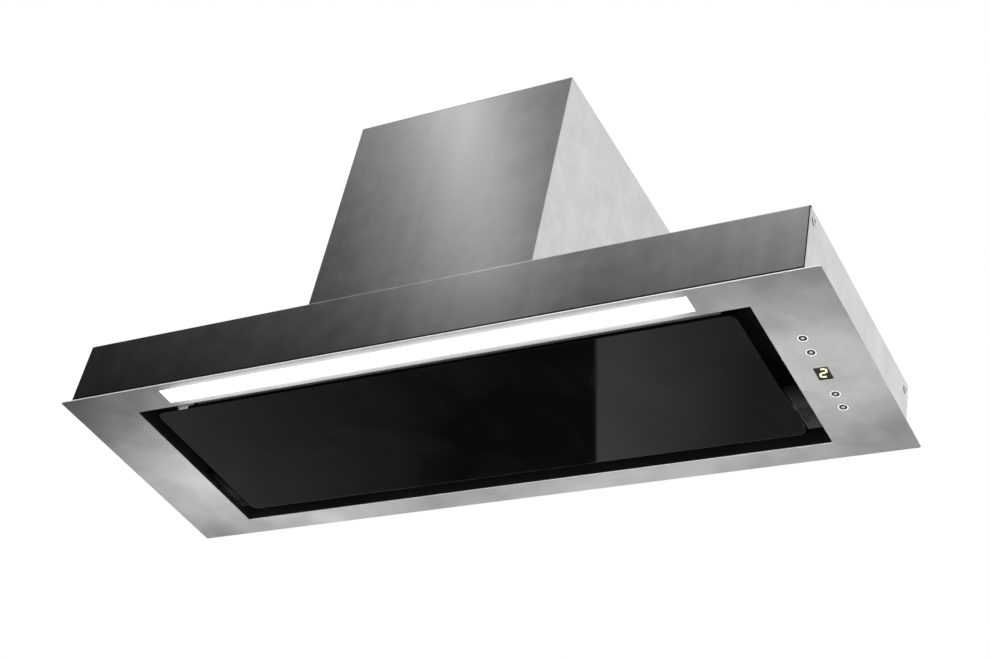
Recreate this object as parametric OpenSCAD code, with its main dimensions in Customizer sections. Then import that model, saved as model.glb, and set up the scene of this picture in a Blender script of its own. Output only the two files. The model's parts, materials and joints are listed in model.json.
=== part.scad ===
// Built-in range hood with a black glass suction panel under a stainless canopy.
// The origin is the middle of the face plate's underside, X to the right,
// Y to the back and Z up. The control buttons are on the right.

/* [Face plate] */
// Width of the face plate
plate_w = 900; // [880:5:960]
// Depth of the face plate from front to back
plate_d = 292; // [288:1:310]
// Thickness of the face plate
plate_t = 1.2; // [1:0.1:1.5]
// Radius of the face plate's corners
plate_corner_r = 2; // [1:0.5:6]
// Face plate left on each side of the suction opening
opening_side = 83; // [80:0.5:90]
// Face plate left in front of the suction opening
opening_front = 38.4; // [38:0.2:42]
// Face plate left behind the suction opening
opening_rear = 26.6; // [24:0.2:30]

/* [Canopy] */
// Height of the canopy over the face plate's underside
canopy_h = 78; // [72:1:100]
// Face plate that stands out past each side wall
side_overhang = 16; // [12:1:20]
// Thickness of the folded sheet
sheet_t = 1; // [0.8:0.1:1.2]
// Outer bend radius of the canopy's upright corners
shell_corner_r = 3; // [2:0.5:4]
// Width of the folded flanges
flange_w = 12; // [10:0.5:13]
// Depth of the front panel's lip over the canopy
lip_d = 5; // [3:0.5:5.5]
// Shadow gap between the front panel and the face plate
shadow_gap = 0.8; // [0.4:0.1:1.5]
// Height of the side fixings over the face plate's underside
fixing_z = 67; // [50:1:67]
// Distance of the side fixings from the canopy's front and back
fixing_inset = 11; // [10:1:30]
// Radius of the side fixings' threaded hole
fixing_r = 2.5; // [2:0.25:3]

/* [Motor housing] */
// Width of the motor housing
housing_w = 274; // [264:2:300]
// Height of the motor housing over the canopy
housing_h = 268; // [258:1:320]
// Distance of the housing's front from the canopy's front
housing_setback = 6; // [4:0.5:8]
// Distance of the housing's rear from the canopy's rear
housing_rear = 6; // [2:0.5:8]

/* [Outlet] */
// Outer radius of the duct collar
collar_r = 74.5; // [70:0.5:76]
// Height of the duct collar over the motor housing
collar_h = 36; // [34:1:60]
// Wall of the duct collar
collar_t = 2; // [1.5:0.1:2.5]

/* [Light] */
// Face plate left on each side of the light strip
led_side = 135; // [110:1:200]
// Width of the light strip
led_d = 22.5; // [16:0.5:23.5]
// Face plate left in front of the light strip
led_front = 9; // [7.5:0.5:9.5]

/* [Controls] */
// Distance of the controls from the face plate's right edge
control_side = 52.5; // [48:0.5:56]
// Distance of the display's middle behind the face plate's middle
control_back = 6.5; // [0:0.5:20]
// Width of the display window
display_w = 14.6; // [12:0.2:18]
// Height of the display window
display_h = 19.5; // [16:0.5:22]
// Distance from the display's middle to the nearer buttons
button_first = 34.3; // [30:0.5:40]
// Distance between two neighbouring buttons
button_pitch = 22.5; // [18:0.5:25]
// Outer radius of a button's bezel
bezel_r = 6.3; // [6:0.1:7]
// Radius of a button's cap
cap_r = 3.6; // [3.4:0.1:4.2]
// Travel of a button
button_travel = 1; // [0.5:0.1:1.2]

/* [Glass panel] */
// Suction gap left and right of the glass
gap_side = 19.3; // [15:0.1:20]
// Suction gap in front of the glass
gap_front = 9; // [8:0.5:14]
// Suction gap behind the glass
gap_rear = 19.5; // [17:0.5:22]
// Thickness of the glass
glass_t = 4; // [3:0.5:4.5]
// Corner radius of the glass
glass_corner_r = 9; // [3:0.5:14]
// Rise of the glass over the face plate's underside
glass_rise = 1; // [0.5:0.1:1.5]

/* [Filters] */
// Distance of the filters from the opening's sides
filter_side = 48; // [47:0.5:75]
// Thickness of a grease filter
filter_t = 8; // [7:0.5:9]
// Distance between the two grease filters
filter_gap = 44; // [44:1:60]
// Distance of the filters from the opening's front edge
filter_front = 36.6; // [34:0.2:38]
// Distance of the filters from the opening's rear edge
filter_rear = 25.4; // [25:0.2:40]
// Height of the filter deck over the face plate's underside
deck_z = 33; // [32:0.5:40]

/* [Blower] */
// Outer radius of the impeller's blades
impeller_r = 75; // [70:1:76]
// Number of blades
blade_count = 32; // [24:1:36]
// Distance between the outer faces of the scroll's side plates
scroll_w = 150; // [144:1:156]
// Scroll radius at the cut-off tongue
tongue_r = 83; // [82:0.5:86]
// Scroll radius at the outlet
outlet_r = 125; // [122:1:128]
// Depth of the outlet duct
duct_d = 146; // [142:1:148]
// Distance of the blower's shaft from the housing's front
shaft_back = 105; // [104:0.5:110]
// Height of the blower's shaft over the canopy
shaft_up = 128; // [124:1:136]
// Radius of the motor's shaft
shaft_r = 4; // [3:0.5:5]
// Radius of the motor
motor_r = 42; // [38:0.5:46]

/* [Hidden] */
$fn = 48;

// Overrun of every cut
cut = 1;
// Depth by which two shapes of one piece run into each other
join = 0.2;
// Clearance between pieces that slide
slide_gap = 0.3;
// Radial clearance of shafts, pins and button caps in their bores
run_gap = 0.05;
// Radial clearance of screws in their holes
screw_gap = 0.2;

// Screws: radius and height of the head, radius and length of the shank, width of the recess
screw_head_r = 3.6;
screw_head_h = 2.2;
screw_r = 1.9;
screw_l = 9;
screw_recess_w = 0.9;
screw_recess_share = 0.55;
screw_side_share = 0.6;
screw_crown_share = 0.7;

// Levels and edges of the face plate and the canopy
led_x = plate_w / 2 - led_side;
plate_front = -plate_d / 2;
plate_back = plate_d / 2;
open_x = plate_w / 2 - opening_side;
open_front = plate_front + opening_front;
open_back = plate_back - opening_rear;
wall_x = plate_w / 2 - side_overhang;
shell_front = plate_front + sheet_t;
canopy_top_z = canopy_h - sheet_t;
profile_t = 1.2;
strip_gap = 0.7;
front_flange_w = led_front - profile_t - sheet_t - strip_gap;
deck_flange_w = opening_front - led_front - led_d - profile_t - sheet_t - strip_gap;
rivet_flange_r = 4.6;
rivet_flange_t = 0.8;
rivet_barrel_r = fixing_r + sheet_t;
rivet_l = 10;

// Housing
house_x = housing_w / 2;
house_front = plate_front + housing_setback;
house_back = plate_back - housing_rear;
housing_d = house_back - house_front;
house_top = canopy_top_z + housing_h;
house_screw_inset = flange_w / 2;
house_screw_z_shares = [0.12, 0.5, 0.88];
house_screw_y_shares = [0.15, 0.5, 0.85];
house_screw_x_share = 0.3;
bottom_screw_y_shares = [0.18, 0.82];

// Blower axis, scroll and collar
axis_y = house_front + shaft_back;
axis_z = canopy_top_z + shaft_up;
duct_front = outlet_r - duct_d;
tongue_angle = acos(duct_front / tongue_r);
scroll_step = 9;
collar_y = axis_y + (outlet_r + duct_front) / 2;
duct_flange_edge = 9;
duct_top = house_top - sheet_t - axis_z;
inlet_r = 62;
bell_r = 6;
collar_screw_r = max(scroll_w / 2, duct_d / 2, collar_r) + screw_head_r + 2 * sheet_t;
duct_flange_r = collar_screw_r + duct_flange_edge;
collar_flange_edge = 1.8;
collar_flange_r = collar_screw_r + screw_head_r + collar_flange_edge;
collar_flange_t = 2.5;

// Damper flaps
flap_t = 1.5;
flap_rim_gap = 1.2;
flap_pin_r = 1.6;
flap_barrel_r = 2.4;
flap_axis_half = 4.5;
flap_seam_half = 0.5;
flap_height_share = 0.55;
flap_z = house_top + collar_h * flap_height_share;
notch_half = flap_axis_half + flap_barrel_r;
ledge_w = 2.5;
ledge_t = 1.6;

// Cable gland
gland_inset = 27;
gland_x = house_x - gland_inset;
gland_y = house_back - gland_inset;
gland_bore_r = 4.2;
gland_thread_r = 9.8;
gland_hex_r = 13.5;
gland_hex_h = 6;
gland_dome_r = 11;
gland_dome_h = 15;
gland_dome_share = 0.6;
gland_crown_share = 0.7;
gland_nut_h = 5;

// Impeller
impeller_end_gap = 8;
blade_chord = 12;
blade_t = 1.1;
blade_lean = 58;
blade_root_share = 0.6;
blade_shares = [0, 0.25, 0.5, 0.75, 1];
ring_w = 14;
ring_t = 2;
rim_lip = 1;
hub_r = 14;
hub_l = 26;
disc_t = 1.6;

// Motor
motor_in = 18;
motor_out = 7;
motor_slot_w = 4;
motor_slot_d = 3;
motor_slot_count = 12;
motor_slot_share = 0.7;
motor_boss_r = 15;
motor_boss_l = 5;
shaft_tail = 8;
bracket_t = 3;
bracket_hub_r = 30;
bracket_arm_w = 14;
bracket_arm_r = 84;
bracket_bolt_r = 23;
grommet_r = 7;
arm_count = 3;

// Capacitor and power box
cap_can_r = 15;
cap_can_l = 62;
cap_neck_r = 12;
cap_neck_h = 5;
clip_t = 1.2;
clip_h = 16;
power_d = 40;
power_w = 130;
power_h = 56;
power_wall = 2;
power_back = 90;
power_drop = 8;
power_y = house_front + power_back;
power_z = house_top - sheet_t - power_h - power_drop;
board_t = 1.6;
relay_y_shares = [[0.42, 0.52], [0.56, 0.66], [0.70, 0.80]];
relay_z_shares = [0.15, 0.5];
transformer_y_shares = [0.05, 0.35];
transformer_z_shares = [0.1, 0.9];
terminal_y_shares = [0.42, 0.92];
terminal_z_shares = [0.7, 0.9];
power_post_shares = [0.2, 0.8];
transformer_h = 24;
relay_h = 17;
terminal_h = 14.5;
capacitor_side = 6;
capacitor_back = 45;
capacitor_drop = 14;
capacitor_x = house_x - sheet_t - cap_can_r - clip_t - capacitor_side;
capacitor_y = house_front + capacitor_back;
capacitor_z = power_z - capacitor_drop - cap_can_l;

// Filters
frame_w = 11;
frame_t = 0.8;
mesh_pitch = 8;
mesh_t = 1;
rail_lip = 6;
latch_w = 26;
latch_d = 16;
latch_t = 2;
latch_reach = 4.5;
latch_tab_h = 3;
keeper_gap = 5;
keeper_lip = 2.5;
keeper_w = 34;
divider_t = 1;
filter_seam = 2;

// Glass panel
tape_t = 0.6;
tape_w = 14;
carrier_inset = 6;
carrier_t = 0.8;
carrier_rim = 4;
hinge_side = 36;
hinge_x = open_x - hinge_side;
hinge_back = 7;
hinge_z = 13;
hinge_pin_r = 2;
hinge_pin_head_r = 3.4;
hinge_pin_head_t = 1.2;
ear_t = 1.5;
ear_r = 4.6;
bracket_r = 5.4;
leaf_l = 72;
leaf_z = 6;
leaf_gap = 0.6;
rear_rim_short = 20;
catch_w = 18;
catch_d = 12;
catch_back = 22.6;
strike_t = 0.8;
magnet_t = 5;
panel_clip_w = 23;
panel_clip_t = 0.6;

// Light
profile_h = 12;
led_board_t = 1;
led_chip = 3;
led_chip_t = 0.8;
led_chip_pitch = 18;
end_cap_t = 2;
driver_w = 34;
driver_l = 150;
driver_h = 21;
driver_r = 2;
driver_ear = 12;
driver_ear_t = 2;
driver_side = 5;
driver_back = 9;
diffuser_t = 2;
diffuser_gap = 0.1;

// Controls
control_x = plate_w / 2 - control_side;
control_y = control_back;
box_half_w = 15;
box_end = 12;
box_wall = 1.5;
box_h = 17;
bezel_flange_r = bezel_r + 1.2;
bezel_flange_t = 0.8;
bezel_dish = 0.3;
bezel_dish_w = 0.5;
bezel_h = 6;
bezel_barrel_r = cap_r + 1.3;
cap_recess = 0.05;
cap_shoulder_r = cap_r + 0.9;
cap_shoulder_h = 1;
cap_stem_r = 2;
cap_dot_r = 2.5;
cap_dot_h = 0.3;
switch_w = 6;
switch_h = 3;
switch_tip_r = 1.7;
switch_tip_h = 1;
switch_gap = 0.2;
digit_t = 0.25;
digit_w = 8.6;
digit_h = 14;
segment_w = 2;
segment_gap = 0.2;
digit_slant = 0.17;
module_rim = 1.5;
module_h = 7;
module_leg_share = 0.7;
window_gap = 0.05;

// Box between two limits on each axis
module span(x, y, z) {
  translate([x[0], y[0], z[0]]) cube([x[1] - x[0], y[1] - y[0], z[1] - z[0]]);
}

// Places along a length, given as shares of it
function along(start, length, shares) = [for (share = shares) start + length * share];

// Rectangle about the origin with round corners
module round_rect(w, d, r) {
  square([w - 2 * r, d], center = true);
  square([w, d - 2 * r], center = true);
  for (x = [-1, 1], y = [-1, 1]) translate([x * (w / 2 - r), y * (d / 2 - r)]) circle(r);
}

// Cylinder that starts at a point and runs along X
module rod_x(at, r, l) {
  translate(at) rotate([0, 90, 0]) cylinder(r = r, h = l);
}

// Pan-head screw with its seat at the origin, its head on +Z and its shank on -Z
module pan_screw(l = screw_l) {
  difference() {
    union() {
      cylinder(r = screw_head_r, h = screw_head_h * screw_side_share);
      translate([0, 0, screw_head_h * screw_side_share]) cylinder(r1 = screw_head_r,
        r2 = screw_head_r * screw_crown_share, h = screw_head_h * (1 - screw_side_share));
      translate([0, 0, -l]) cylinder(r = screw_r, h = l + join);
    }
    for (turn = [0, 90]) rotate(turn)
      translate([-screw_head_r * screw_recess_share, -screw_recess_w / 2, screw_head_h / 2])
        cube([2 * screw_head_r * screw_recess_share, screw_recess_w, screw_head_h]);
  }
}

// Screw hole through a sheet, centred on the origin along Z
module screw_hole() {
  cylinder(r = screw_r + screw_gap, h = 4 * cut + 2 * sheet_t, center = true);
}

// Places of the side fixings
module at_fixings() {
  for (side = [-1, 1], y = [shell_front + fixing_inset, plate_back - fixing_inset])
    translate([side * wall_x, y, fixing_z]) rotate([0, side * 90, 0]) children();
}

// Places of the buttons
function button_y(n) = control_y + (n < 2 ? -1 : 1)
  * (button_first + ((n == 0 || n == 3) ? button_pitch : 0));

// Face plate with the suction opening, light slot, button holes and display window
module face_plate() {
  color("silver") difference() {
    linear_extrude(plate_t) round_rect(plate_w, plate_d, plate_corner_r);
    span([-open_x, open_x], [open_front, open_back], [-cut, plate_t + cut]);
    span([-led_x, led_x], [plate_front + led_front, plate_front + led_front + led_d],
      [-cut, plate_t + cut]);
    for (n = [0 : 3]) translate([control_x, button_y(n), -cut])
      cylinder(r = bezel_r + run_gap, h = plate_t + 2 * cut);
    translate([control_x, control_y, plate_t / 2])
      cube([display_w, display_h, plate_t + 2 * cut], center = true);
  }
}

// Front fascia with its lip folded back over the canopy
module front_panel() {
  bend_r = 2 * sheet_t;
  bottom = plate_t + shadow_gap;
  color("silver") translate([-wall_x, 0, 0]) rotate([90, 0, 90]) linear_extrude(2 * wall_x)
    union() {
      translate([plate_front, bottom]) square([sheet_t, canopy_h - bend_r - bottom]);
      translate([plate_front + bend_r, canopy_h - sheet_t]) square([lip_d - bend_r, sheet_t]);
      intersection() {
        translate([plate_front + bend_r, canopy_h - bend_r]) difference() {
          circle(bend_r);
          circle(bend_r - sheet_t);
        }
        translate([plate_front, canopy_h - bend_r]) square([bend_r, bend_r]);
      }
    }
}

// Outline of the canopy's walls
module shell_outline(inset = 0) {
  r = shell_corner_r - min(inset, shell_corner_r / 2);
  translate([0, (shell_front + plate_back) / 2])
    round_rect(2 * (wall_x - inset), plate_back - shell_front - 2 * inset, r);
}

// Canopy walls wrapped from one sheet, with flanges folded in at the bottom and the top
module canopy_shell() {
  h = canopy_top_z - sheet_t - plate_t;
  color("gainsboro") difference() {
    union() {
      translate([0, 0, plate_t]) linear_extrude(h) difference() {
        shell_outline();
        shell_outline(sheet_t);
      }
      translate([0, 0, plate_t]) linear_extrude(sheet_t) difference() {
        shell_outline();
        translate([-wall_x + flange_w, shell_front + front_flange_w])
          square([2 * (wall_x - flange_w), plate_back - shell_front - front_flange_w - flange_w]);
      }
      translate([0, 0, canopy_top_z - 2 * sheet_t]) linear_extrude(sheet_t) difference() {
        shell_outline();
        translate([-wall_x + flange_w, shell_front + front_flange_w])
          square([2 * (wall_x - flange_w), plate_back - shell_front - front_flange_w - flange_w]);
      }
    }
    at_fixings() cylinder(r = rivet_barrel_r, h = 4 * cut + 2 * sheet_t, center = true);
  }
}

// Canopy roof with the air passage into the motor housing, set back behind the front panel's bend
module canopy_top() {
  color("silver") difference() {
    translate([0, 0, canopy_top_z - sheet_t]) linear_extrude(sheet_t) shell_outline();
    span([-wall_x - cut, wall_x + cut], [shell_front - cut, shell_front + sheet_t],
      [canopy_top_z - sheet_t - cut, canopy_top_z + cut]);
    span([-house_x + flange_w, house_x - flange_w],
      [house_front + flange_w, house_back - flange_w],
      [canopy_top_z - sheet_t - cut, canopy_top_z + cut]);
    at_bottom_screws() screw_hole();
  }
}

// Threaded rivets in the side walls, which the cabinet's screws go into
module side_fixings() {
  color("dimgray") at_fixings() difference() {
    union() {
      cylinder(r = rivet_flange_r, h = rivet_flange_t);
      translate([0, 0, -rivet_l]) cylinder(r = rivet_barrel_r, h = rivet_l);
    }
    translate([0, 0, -rivet_l - cut]) cylinder(r = fixing_r, h = rivet_l + rivet_flange_t + 2 * cut);
  }
}

// Places of the housing's screws: up through the canopy roof, in the back and in the top
module at_bottom_screws() {
  for (side = [-1, 1], share = bottom_screw_y_shares)
    translate([side * (house_x - house_screw_inset), house_front + share * housing_d, canopy_top_z])
      children();
  for (side = [-1, 1])
    translate([side * house_screw_x_share * housing_w, house_front + house_screw_inset, canopy_top_z])
      children();
}
module at_back_screws() {
  for (side = [-1, 1], share = house_screw_z_shares)
    translate([side * (house_x - house_screw_inset), house_back, canopy_top_z + share * housing_h])
      rotate([-90, 0, 0]) children();
}
module at_top_screws() {
  for (side = [-1, 1], share = house_screw_y_shares)
    translate([side * (house_x - house_screw_inset), house_front + share * housing_d, house_top])
      children();
  for (side = [-1, 1])
    translate([side * house_screw_x_share * housing_w, house_front + house_screw_inset, house_top])
      children();
}

// Flange folded in along the front and both sides of the housing
module wrap_flange(z) {
  span([-house_x, house_x], [house_front, house_front + flange_w], [z, z + sheet_t]);
  for (side = [-1, 1])
    span(side < 0 ? [-house_x, -house_x + flange_w] : [house_x - flange_w, house_x],
      [house_front, house_back - sheet_t], [z, z + sheet_t]);
}

// Front and sides of the motor housing, folded from one sheet
module housing_wrap() {
  z0 = canopy_top_z;
  z1 = house_top - sheet_t;
  back = house_back - sheet_t;
  color("silver") difference() {
    union() {
      span([-house_x, house_x], [house_front, house_front + sheet_t], [z0, z1]);
      for (side = [-1, 1]) {
        span(side < 0 ? [-house_x, -house_x + sheet_t] : [house_x - sheet_t, house_x],
          [house_front, back], [z0, z1]);
        span(side < 0 ? [-house_x, -house_x + flange_w] : [house_x - flange_w, house_x],
          [back - sheet_t, back], [z0, z1]);
      }
      wrap_flange(z0);
      wrap_flange(z1 - sheet_t);
    }
    at_bottom_screws() screw_hole();
    at_back_screws() screw_hole();
    at_top_screws() screw_hole();
  }
}

// Rear panel of the motor housing
module housing_back() {
  z0 = canopy_top_z;
  z1 = house_top - sheet_t;
  lip_x = house_x - flange_w - slide_gap;
  color("gainsboro") difference() {
    union() {
      span([-house_x, house_x], [house_back - sheet_t, house_back], [z0, z1]);
      span([-lip_x, lip_x], [house_back - flange_w, house_back], [z0, z0 + sheet_t]);
      span([-lip_x, lip_x], [house_back - flange_w, house_back], [z1 - sheet_t, z1]);
    }
    at_back_screws() screw_hole();
  }
}

// Top of the motor housing with the holes for the collar and the cable gland
module housing_top() {
  color("gainsboro") difference() {
    span([-house_x, house_x], [house_front, house_back], [house_top - sheet_t, house_top]);
    translate([0, collar_y, house_top]) cylinder(r = collar_r - collar_t, h = 4 * cut, center = true);
    translate([gland_x, gland_y, house_top])
      cylinder(r = gland_thread_r + screw_gap, h = 4 * cut, center = true);
    at_top_screws() screw_hole();
    at_collar_screws() screw_hole();
  }
}

// Self-tapping screws of the motor housing
module housing_screws() {
  color("gray") {
    at_bottom_screws() translate([0, 0, -sheet_t]) mirror([0, 0, 1]) pan_screw();
    at_back_screws() pan_screw();
    at_top_screws() pan_screw();
  }
}

// Places of the collar's screws
module at_collar_screws() {
  for (turn = [0 : 90 : 270]) translate([0, collar_y, house_top]) rotate(turn)
    translate([collar_screw_r, 0, 0]) children();
}

// Duct collar with a stop ledge for the flaps, notched at their middle, and the bores of their pins
module outlet_collar() {
  inner_r = collar_r - collar_t;
  ledge_z = flap_z - flap_t / 2 - slide_gap - ledge_t;
  color("darkslategray") difference() {
    union() {
      translate([0, collar_y, house_top]) cylinder(r = collar_flange_r, h = collar_flange_t);
      translate([0, collar_y, house_top]) cylinder(r = collar_r, h = collar_h);
    }
    translate([0, collar_y, house_top - cut]) cylinder(r = inner_r - ledge_w, h = collar_h + 2 * cut);
    translate([0, collar_y, house_top - cut]) cylinder(r = inner_r, h = ledge_z - house_top + cut);
    translate([0, collar_y, ledge_z + ledge_t]) cylinder(r = inner_r, h = collar_h + cut);
    intersection() {
      translate([0, collar_y, ledge_z - cut]) cylinder(r = inner_r, h = ledge_t + 2 * cut);
      translate([0, collar_y, ledge_z]) cube([2 * collar_r, 2 * notch_half, 4 * ledge_t],
        center = true);
    }
    for (side = [-1, 1])
      rod_x([-collar_r - cut, collar_y + side * flap_axis_half, flap_z], flap_pin_r + run_gap,
        2 * (collar_r + cut));
    at_collar_screws() translate([0, 0, collar_flange_t]) cylinder(r = screw_r + screw_gap,
      h = 4 * collar_flange_t, center = true);
  }
}

// Screws that hold the collar, the housing top and the blower's outlet together
module collar_screws() {
  color("gray") at_collar_screws() translate([0, 0, collar_flange_t]) pan_screw();
}

// Half-round flap of the non-return damper, side is -1 at the front and 1 at the rear
module damper_flap(side) {
  rim_r = collar_r - collar_t - flap_rim_gap;
  pin_y = collar_y + side * flap_axis_half;
  pin_l = collar_r - collar_t / 2;
  barrel_half = rim_r - flap_barrel_r;
  color("dimgray") {
    difference() {
      translate([0, collar_y, flap_z - flap_t / 2]) cylinder(r = rim_r, h = flap_t);
      span([-collar_r, collar_r],
        side < 0 ? [collar_y - flap_seam_half, collar_y + collar_r]
                 : [collar_y - collar_r, collar_y + flap_seam_half],
        [flap_z - flap_t, flap_z + flap_t]);
    }
    rod_x([-barrel_half, pin_y, flap_z], flap_barrel_r, 2 * barrel_half);
    rod_x([-pin_l, pin_y, flap_z], flap_pin_r, 2 * pin_l);
  }
}
module damper_flap_front() { damper_flap(-1); }
module damper_flap_rear() { damper_flap(1); }

// Cable gland with its lock nut under the housing top
module cable_gland() {
  color("dimgray") translate([gland_x, gland_y, house_top]) difference() {
    union() {
      cylinder(r = gland_hex_r, h = gland_hex_h, $fn = 6);
      translate([0, 0, gland_hex_h])
        cylinder(r = gland_dome_r, h = gland_dome_h * gland_dome_share);
      translate([0, 0, gland_hex_h + gland_dome_h * gland_dome_share]) cylinder(r1 = gland_dome_r,
        r2 = gland_dome_r * gland_crown_share, h = gland_dome_h * (1 - gland_dome_share));
      translate([0, 0, -sheet_t - gland_nut_h - cut]) cylinder(r = gland_thread_r,
        h = sheet_t + gland_nut_h + 2 * cut);
      translate([0, 0, -sheet_t - gland_nut_h]) cylinder(r = gland_hex_r, h = gland_nut_h, $fn = 6);
    }
    translate([0, 0, -sheet_t - gland_nut_h - 2 * cut])
      cylinder(r = gland_bore_r, h = sheet_t + gland_nut_h + gland_hex_h + gland_dome_h + 3 * cut);
  }
}

// Outline of the scroll in the plane across the shaft, grown by a wall,
// as [back, up] points from the tongue round the front and the bottom to the outlet
function scroll_r(angle) = tongue_r
  + (outlet_r - tongue_r) * (angle - tongue_angle) / (360 - tongue_angle);
function scroll_points(wall) = concat(
  [[outlet_r + wall, duct_top], [duct_front - wall, duct_top]],
  [for (n = [0 : scroll_steps()]) let(a = scroll_angle(n), r = scroll_r(a) + wall)
    [n == 0 ? duct_front - wall : r * cos(a), r * sin(a)]],
  [[outlet_r + wall, 0]]);
function scroll_steps() = floor((360 - tongue_angle) / scroll_step);
function scroll_angle(n) = tongue_angle + n * (360 - tongue_angle) / (scroll_steps() + 1);

// Turns a drawing of [back, up] points into a plate across the shaft
module across_shaft(x, thick) {
  translate([x, axis_y, axis_z]) rotate([90, 0, 90]) linear_extrude(thick) children();
}

// Spiral wall of the scroll with flanges at the outlet
module scroll_wrap() {
  half = scroll_w / 2 - sheet_t;
  color("lightgray") difference() {
    union() {
      across_shaft(-half, 2 * half) difference() {
        polygon(scroll_points(sheet_t));
        polygon(scroll_points(0));
        translate([duct_front, duct_top - cut]) square([duct_d, 2 * cut]);
      }
      span([-half, half], [collar_y - duct_flange_r, axis_y + duct_front],
        [house_top - 2 * sheet_t, house_top - sheet_t]);
      span([-half, half], [axis_y + outlet_r, collar_y + duct_flange_r],
        [house_top - 2 * sheet_t, house_top - sheet_t]);
    }
    at_collar_screws() screw_hole();
  }
}

// Side plate of the scroll with its bell-mouth inlet, side is -1 on the left and 1 on the right
module scroll_side(side) {
  half = scroll_w / 2;
  color("lightgray") difference() {
    union() {
      difference() {
        across_shaft(side < 0 ? -half : half - sheet_t, sheet_t) polygon(scroll_points(sheet_t));
        rod_x([-scroll_w, axis_y, axis_z], inlet_r + bell_r, 2 * scroll_w);
      }
      translate([side * half, axis_y, axis_z]) rotate([0, -side * 90, 0]) rotate_extrude()
        difference() {
          translate([inlet_r, 0]) square([bell_r + sheet_t / 2, bell_r]);
          translate([inlet_r + bell_r, bell_r]) circle(bell_r - sheet_t);
          translate([inlet_r + bell_r, sheet_t]) square([bell_r, bell_r]);
          translate([inlet_r - bell_r, -cut]) square([bell_r, bell_r + 2 * cut]);
          difference() {
            translate([inlet_r - cut, -cut]) square([bell_r + cut, bell_r + cut]);
            translate([inlet_r + bell_r, bell_r]) circle(bell_r);
          }
        }
      span(side < 0 ? [-duct_flange_r, -half] : [half, duct_flange_r],
        [axis_y + duct_front, axis_y + outlet_r], [house_top - 2 * sheet_t, house_top - sheet_t]);
    }
    at_collar_screws() screw_hole();
    if (side < 0) at_bracket_ends() rod_x([-cut, 0, 0], screw_r + screw_gap, sheet_t + 2 * cut);
  }
}
module scroll_side_left() { scroll_side(-1); }
module scroll_side_right() { scroll_side(1); }

// Double-inlet impeller with forward-curved blades
module impeller() {
  half = scroll_w / 2 - sheet_t - impeller_end_gap;
  root_r = impeller_r - blade_chord;
  tip_first = [for (n = [len(blade_shares) - 1 : -1 : 0]) blade_shares[n]];
  color("darkgray") difference() {
    union() {
      across_shaft(-half, 2 * half) for (n = [0 : blade_count - 1]) rotate(n * 360 / blade_count)
        polygon(concat(
          [for (share = blade_shares) blade_point(root_r, share, blade_t / 2)],
          [for (share = tip_first) blade_point(root_r, share, -blade_t / 2)]));
      for (x = [-half, half - ring_t]) difference() {
        rod_x([x, axis_y, axis_z], impeller_r + rim_lip, ring_t);
        rod_x([x - cut, axis_y, axis_z], impeller_r + rim_lip - ring_w, ring_t + 2 * cut);
      }
      rod_x([-disc_t / 2, axis_y, axis_z], impeller_r + rim_lip, disc_t);
      rod_x([-hub_l / 2, axis_y, axis_z], hub_r, hub_l);
    }
    rod_x([-hub_l, axis_y, axis_z], shaft_r, 2 * hub_l);
  }
}
// Point on a blade: share from its root to its tip, and distance off its middle line
function blade_point(root_r, share, off) = let(
  r = root_r + blade_chord * share,
  swing = -blade_lean * share * share * blade_chord / impeller_r,
  spread = off / r * 180 / PI * (1 + share * blade_root_share))
  [r * cos(swing + spread), r * sin(swing + spread)];

// Motor shaft, pressed into the impeller's hub
module motor_shaft() {
  x0 = -scroll_w / 2 - motor_out - motor_boss_l - shaft_tail;
  color("silver") rod_x([x0, axis_y, axis_z], shaft_r, hub_l / 2 - x0);
}

// Motor in the left inlet, with cooling slots and a running bore for the shaft
module motor() {
  x0 = -scroll_w / 2 - motor_out;
  l = scroll_w / 2 + motor_out - motor_in;
  color("slategray") difference() {
    union() {
      rod_x([x0, axis_y, axis_z], motor_r, l);
      rod_x([x0 - motor_boss_l, axis_y, axis_z], motor_boss_r, motor_boss_l + cut);
    }
    for (n = [0 : motor_slot_count - 1])
      translate([x0 + l * (1 - motor_slot_share) / 2, axis_y, axis_z])
        rotate([n * 360 / motor_slot_count, 0, 0])
          translate([0, -motor_slot_w / 2, motor_r - motor_slot_d])
            cube([l * motor_slot_share, motor_slot_w, 2 * motor_slot_d]);
    rod_x([x0 - 2 * motor_boss_l, axis_y, axis_z], shaft_r + run_gap, l + 4 * motor_boss_l);
    at_bracket_hub() rod_x([-cut, 0, 0], screw_r, screw_l);
  }
}

// Places of the bracket's screws, at the motor and at the ends of the arms
module at_bracket_hub() {
  for (n = [0 : arm_count - 1]) translate([-scroll_w / 2 - motor_out, axis_y, axis_z])
    rotate([n * 360 / arm_count, 0, 0]) translate([0, 0, bracket_bolt_r]) children();
}
module at_bracket_ends() {
  for (n = [0 : arm_count - 1]) translate([-scroll_w / 2, axis_y, axis_z])
    rotate([n * 360 / arm_count, 0, 0]) translate([0, 0, bracket_arm_r - grommet_r]) children();
}

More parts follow.
